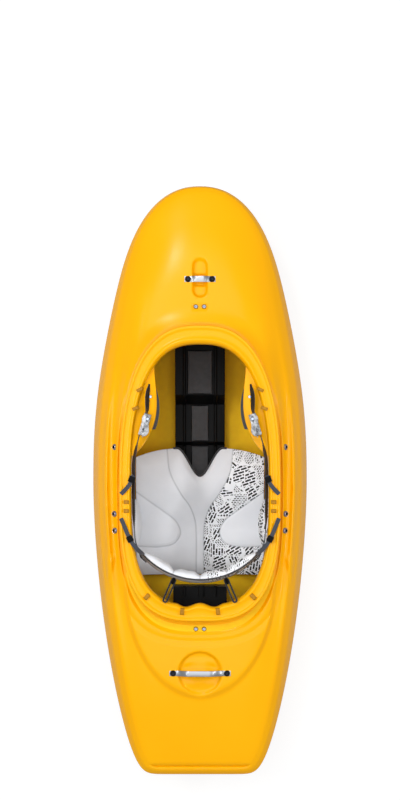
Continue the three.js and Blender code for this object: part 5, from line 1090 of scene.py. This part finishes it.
share = np.linspace(-1, 1, 241)[:, None]
lobe = to_quilt_seam(share)
channel = 9 * ease(1 - lobe / 0.12) + 1.2 * np.exp(-((lobe / 0.006) ** 2))
swell = np.sqrt(ease((1 - np.abs(share)) / 0.25))
angle = np.linspace(0, np.pi, 41)[None, :]
puff = np.minimum(1 + 0.06 * np.sin(np.pi * np.clip(lobe / 0.21, 0, 1)), 1.04)
pad_radius = BAND_RADIUS - (mix(6, 27, swell) - channel) * puff * np.sqrt(np.clip(np.sin(angle), 0, 1))
pad_z = mix(band_base(share), BAND_TOP, (1 - np.cos(angle)) / 2)
# painted shade in the creases of the quilting
covered(skinned("back_band_quilt", band_point(share, pad_z, pad_radius), cloth, 60), band_print,
        lambda x, y, z: 0.5 * np.exp(
            -((to_quilt_seam(np.arctan2(x, BAND_CENTRE - y) / BAND_HALF_ANGLE) / 0.01) ** 2)),
        "back_band", "back_band_pad")

share = np.linspace(-1, 1, 121)
edge_path = band_point(share, np.full_like(share, BAND_TOP - 4.0), BAND_RADIUS - 1.5)
fitted(skinned("back_band_binding", swept(edge_path, oval(3.4, 4.6, 16)), binding), "back_band")

lock_profile = [(0, -9), (5.2, -9), (6, -8), (6, -3.4), (5, -2.6), (5, 2.6), (6, 3.4), (6, 8), (5.2, 9), (0, 9)]
for side_name, sign in SIDES:
    lock = turned(f"cord_lock_{side_name}", lock_profile, cord_ahead * (sign, 1, 1),
                  (cord_start + cord_ahead * 6) * (sign, 1, 1), moulded_black, 20)
    fitted(lock, "back_band")


# Ratchet buckles: die-cast levers and bases standing on the thigh hooks, on stainless pins, each under
# a lobed cheek with holes for the pins. PIVOTS holds the run along the buckle, the reach across it and
# the radius of each hole.
BUCKLE = np.array([165, 164])
BUCKLE_ANGLE = np.radians(107)
BUCKLE_AHEAD = np.array([np.cos(BUCKLE_ANGLE), np.sin(BUCKLE_ANGLE)])
BUCKLE_INWARD = np.array([-BUCKLE_AHEAD[1], BUCKLE_AHEAD[0]])
PIVOTS = ((18, 9, 4.4), (-18, 6, 2.8))
cast_metal, tree = start_material("die_cast_zinc")
# Die-cast zinc, tumbled: mid grey, mottled, its dents duller than its high spots.
mottle = noise(tree, 110, 4)
finish_material(tree, between(tree, spread(tree, mottle, 0, 1, 0.38, 0.62), "#6d6e70", "#b4b6b9"),
                spread(tree, mottle, 0.3, 0.5), {"Metallic": 0.9, "Normal": bump(tree, mottle, 0.25, 0.0005)})


def cheek_ring(height, inset):
    """Outline of a cheek: an ellipse 66 mm long, waisted, whose middle swings across by 4.5 sin(pi s / 52)."""
    angle = np.linspace(0, 2 * np.pi, 48, endpoint=False)[:, None]
    run = (33 - inset) * np.cos(angle)
    half = 11.5 - 1.5 * np.cos(np.pi * run / 20) - inset
    reach = 8 - 4.5 * np.sin(np.pi * run / 52) + half * np.sign(np.sin(angle)) * np.abs(np.sin(angle)) ** 0.8
    return np.column_stack([BUCKLE + BUCKLE_AHEAD * run + BUCKLE_INWARD * reach, np.full(len(run), height)])


for side_name, sign in SIDES:
    top = max(vertex.co.z for vertex in frame["nodes"][f"ratchet_base_{side_name}"].data.vertices) / MM
    rings = np.array([cheek_ring(top + rise, inset)
                      for rise, inset in ((-0.6, 0), (0.9, 0), (1.5, 0.5), (1.7, 1.3))])
    cheek = skinned(f"buckle_cheek_{side_name}", rings * (sign, 1, 1), cast_metal)
    holes = [(BUCKLE + BUCKLE_AHEAD * run + BUCKLE_INWARD * reach, radius) for run, reach, radius in PIVOTS]
    bored(cheek, [peg(sign * x, y, top, radius) for (x, y), radius in holes])
    fitted(cheek, "hull")
    for part, word in (("base", "frame"), ("lever", "lever"), ("release", "release_tab")):
        softened(f"ratchet_{part}_{side_name}", f"buckle_{word}_{side_name}", cast_metal,
                 0.9, 40, 2)
    for steel in ("ratchet_pin", "thigh_screw"):
        for slot in frame["nodes"][f"{steel}_{side_name}"].material_slots:
            slot.material = stainless


# Toothed straps: moulded nylon ladder strap 20 mm wide from the band's ends along the rim's inner edge,
# through the buckles and on over the hooks; they bend between the boat and the band. A strap leans over
# by 32 degrees towards its tip and by 24 degrees the other way beside the seat.
BAND_END = -213.8
STRAP_STAND = 22.18
STRAIGHT_RUN = 39.68
STRAP_STATIONS = 420


def strap_middle(y):
    """Height of the strap's middle: 12 mm under the rim, eased over 70 mm onto the buckle's level."""
    return mix(rim_line(y) - 12, hook_top(BUCKLE[0], y) + STRAP_STAND, ease((y - 20) / 70))


buckle = np.array([*BUCKLE, strap_middle(float(BUCKLE[1]))])
through = [buckle + run * STRAIGHT_RUN * np.array([*BUCKLE_AHEAD, 0]) for run in (-1, 0, 1)]
beside_rim = [np.array([inner_edge(stop) - 6, stop, strap_middle(stop)])
              for stop in mix(BAND_END, BUCKLE[1], np.array([0.1, 0.17, 0.275, 0.434, 0.592, 0.725]))]
on_band = list(band_point(np.array([0.84, 0.94]), 244.0, BAND_RADIUS + 8.1))
tail = np.array([146, 280, strap_middle(280.0)])
bowed_tail = mix(through[-1], tail, 0.5) + (3, 2, 0)
strap_stops = [*on_band, mix(on_band[1], beside_rim[0], 0.45), *beside_rim, *through, bowed_tail, tail]
strap_line = smooth_route(strap_stops, STRAP_STATIONS)
run = np.concatenate([[0], np.cumsum(np.linalg.norm(np.diff(strap_line, axis=0), axis=1))])
even = np.linspace(0, run[-1], STRAP_STATIONS)
strap_line = np.column_stack([np.interp(even, run, strap_line[:, axis]) for axis in range(3)])
to_tip = even - run[-1]

ladder_plastic, tree = start_material("black_moulded_nylon")
# Injection-moulded nylon: smooth, blue-black, a soft sheen, faintly cloudy.
drag = noise(tree, 180, 2)
finish_material(tree, between(tree, drag, "#15171c", "#262a31"), spread(tree, drag, 0.34, 0.5), {})

strap_section = (1, 0.96) * np.array([[-1, -10], [-0.2, -10.4], [0.6, -10], [1.2, -9], [1.2, 9], [0.6, 10],
                                      [-0.2, 10.4], [-1, 10]])
strap_y = strap_line[:, 1]
laid_over = np.radians(32) * ease((to_tip + 105) / 45)
laid_over -= np.radians(24) * ease((strap_y + 150) / 60) * ease((122 - strap_y) / 40)
laid_over = laid_over[:, None, None]
upright = swept(strap_line, strap_section) - strap_line[:, None]
upright *= (1 - 0.55 * ease((to_tip + 34) / 34) ** 2)[:, None, None]
ahead = unit(np.gradient(strap_line, axis=0))[:, None]
strap_rings = strap_line[:, None] + upright * np.cos(laid_over) + np.cross(ahead, upright) * np.sin(laid_over)
teeth = 0.55 * (np.arange(STRAP_STATIONS) % 4 < 2)[:, None]
toothed_side = strap_rings[:, 3:5].mean(axis=1) - strap_rings[:, [0, 7]].mean(axis=1)
strap_rings[:, [0, 7]] -= (unit(toothed_side) * teeth)[:, None, :]
for side_name, sign, strap in pair("toothed_strap", strap_rings, ladder_plastic, 30):
    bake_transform(strap, "hull", "back_band", start=mirrored(beside_rim[1], sign), end=mirrored(on_band[1], sign))
    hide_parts(f"ladder_strap_{side_name}")


# Webbing straps: 12 mm webbing over the rim's edge, one to the band's end and one to the seat's front
# corner, each through a moulded slide buckle.
OVER_RIM = [[4, 105.8, -2], [14, 81.8, -1], [24, 57.8, 2], [30, 45.8, 2.7], [38, 31.8, 3], [48, 19.8, 1]]
OVER_BAND = [[57, 9.8, 36.2], [64, 2.8, 21.8], [66.5, -2.2, 0.6]]
LIFTER = [[4, 175.8, -2], [13, 184.8, -1], [24, 196.8, 2], [31, 206.8, 2.9], [35.5, 218.3, 2.9],
          [40, 229.8, 2.4]]
webbing, tree = start_material("woven_polyester_webbing")
# Woven webbing: slate blue-black, herringbone ribs about 2 mm apart, fuzzy matt face.
weft = (texture(tree, "Wave", 150, {"Distortion": 0.6}, bands_direction="DIAGONAL"), "Fac")
finish_material(tree, between(tree, weft, "#1f2229", "#4a4f5a"), 0.78,
                {"Normal": bump(tree, weft, 0.5, 0.0005), "Sheen Weight": 0.25})


def over_rim(stops):
    """Stops over the rim from (inset from its edge, lead ahead of the band's end, lift off the rim)."""
    inset, lead, lift = np.array(stops).T
    y = BAND_END + lead
    return np.column_stack([RIM_HALF_WIDTH - inset, y, rim_line(y) + 1.5 + lift])


hang = np.array(OVER_BAND) * (-1, 1, 1) + (RIM_HALF_WIDTH, BAND_END, BAND_TOP)
web_section = np.array([[-6, -0.6], [-5.7, -1], [5.7, -1], [6, -0.6], [6, 0.6], [5.7, 1], [-5.7, 1], [-6, 0.6]])
for word, stops in (("band", np.concatenate([over_rim(OVER_RIM), hang])), ("lifter", over_rim(LIFTER))):
    web_rings = swept(smooth_route(stops, 90), web_section)
    for side_name, sign, web in pair(f"{word}_webbing", web_rings, webbing, 30):
        if word == "band":
            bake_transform(web, "hull", "back_band", start=mirrored(stops[4], sign), end=mirrored(stops[-1], sign))
        else:
            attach(web, "hull")
        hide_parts(f"{word}_strap_{side_name}")
        softened(f"{word}_buckle_{side_name}", f"{word}_slide_{side_name}", moulded_black,
                 1.2, 40, 3)


# Thigh pads: crescents of black foam under the hooks, in two glued layers, on the hooks' screws;
# a slot lets each pad slide 19 mm fore and aft along its screw's row.
TRIM = 19
THIGH_REAR, THIGH_FRONT, THIGH_MIDDLE = 150, 275, 139
stations = np.linspace(0, 1, 61)[:, None]
y = mix(THIGH_REAR, THIGH_FRONT, stations)
angle = np.linspace(0, np.pi, 37)[None, :]
glue_line = np.exp(-(((angle - 0.9) / 0.05) ** 2))
swell = np.sin(np.pi * mix(0.08, 0.92, stations)) ** 0.6
x = THIGH_MIDDLE - (21 * swell - glue_line) * np.cos(angle)
z = hook_top(x, y) - 5.3 - (20 * swell - glue_line) * np.clip(np.sin(angle), 0, 1) ** 0.6
pad_rings = np.stack(np.broadcast_arrays(x, y, z), axis=-1)
for side_name, sign, thigh in pair("thigh_foam", pad_rings, black_foam, 60):
    bored(thigh, [peg(sign * SCREW_X, SCREW_Y, hook_top(SCREW_X, SCREW_Y), 3.4, TRIM)])
    fitted(thigh, f"thigh_pad_{side_name}", f"thigh_pad_{side_name}")
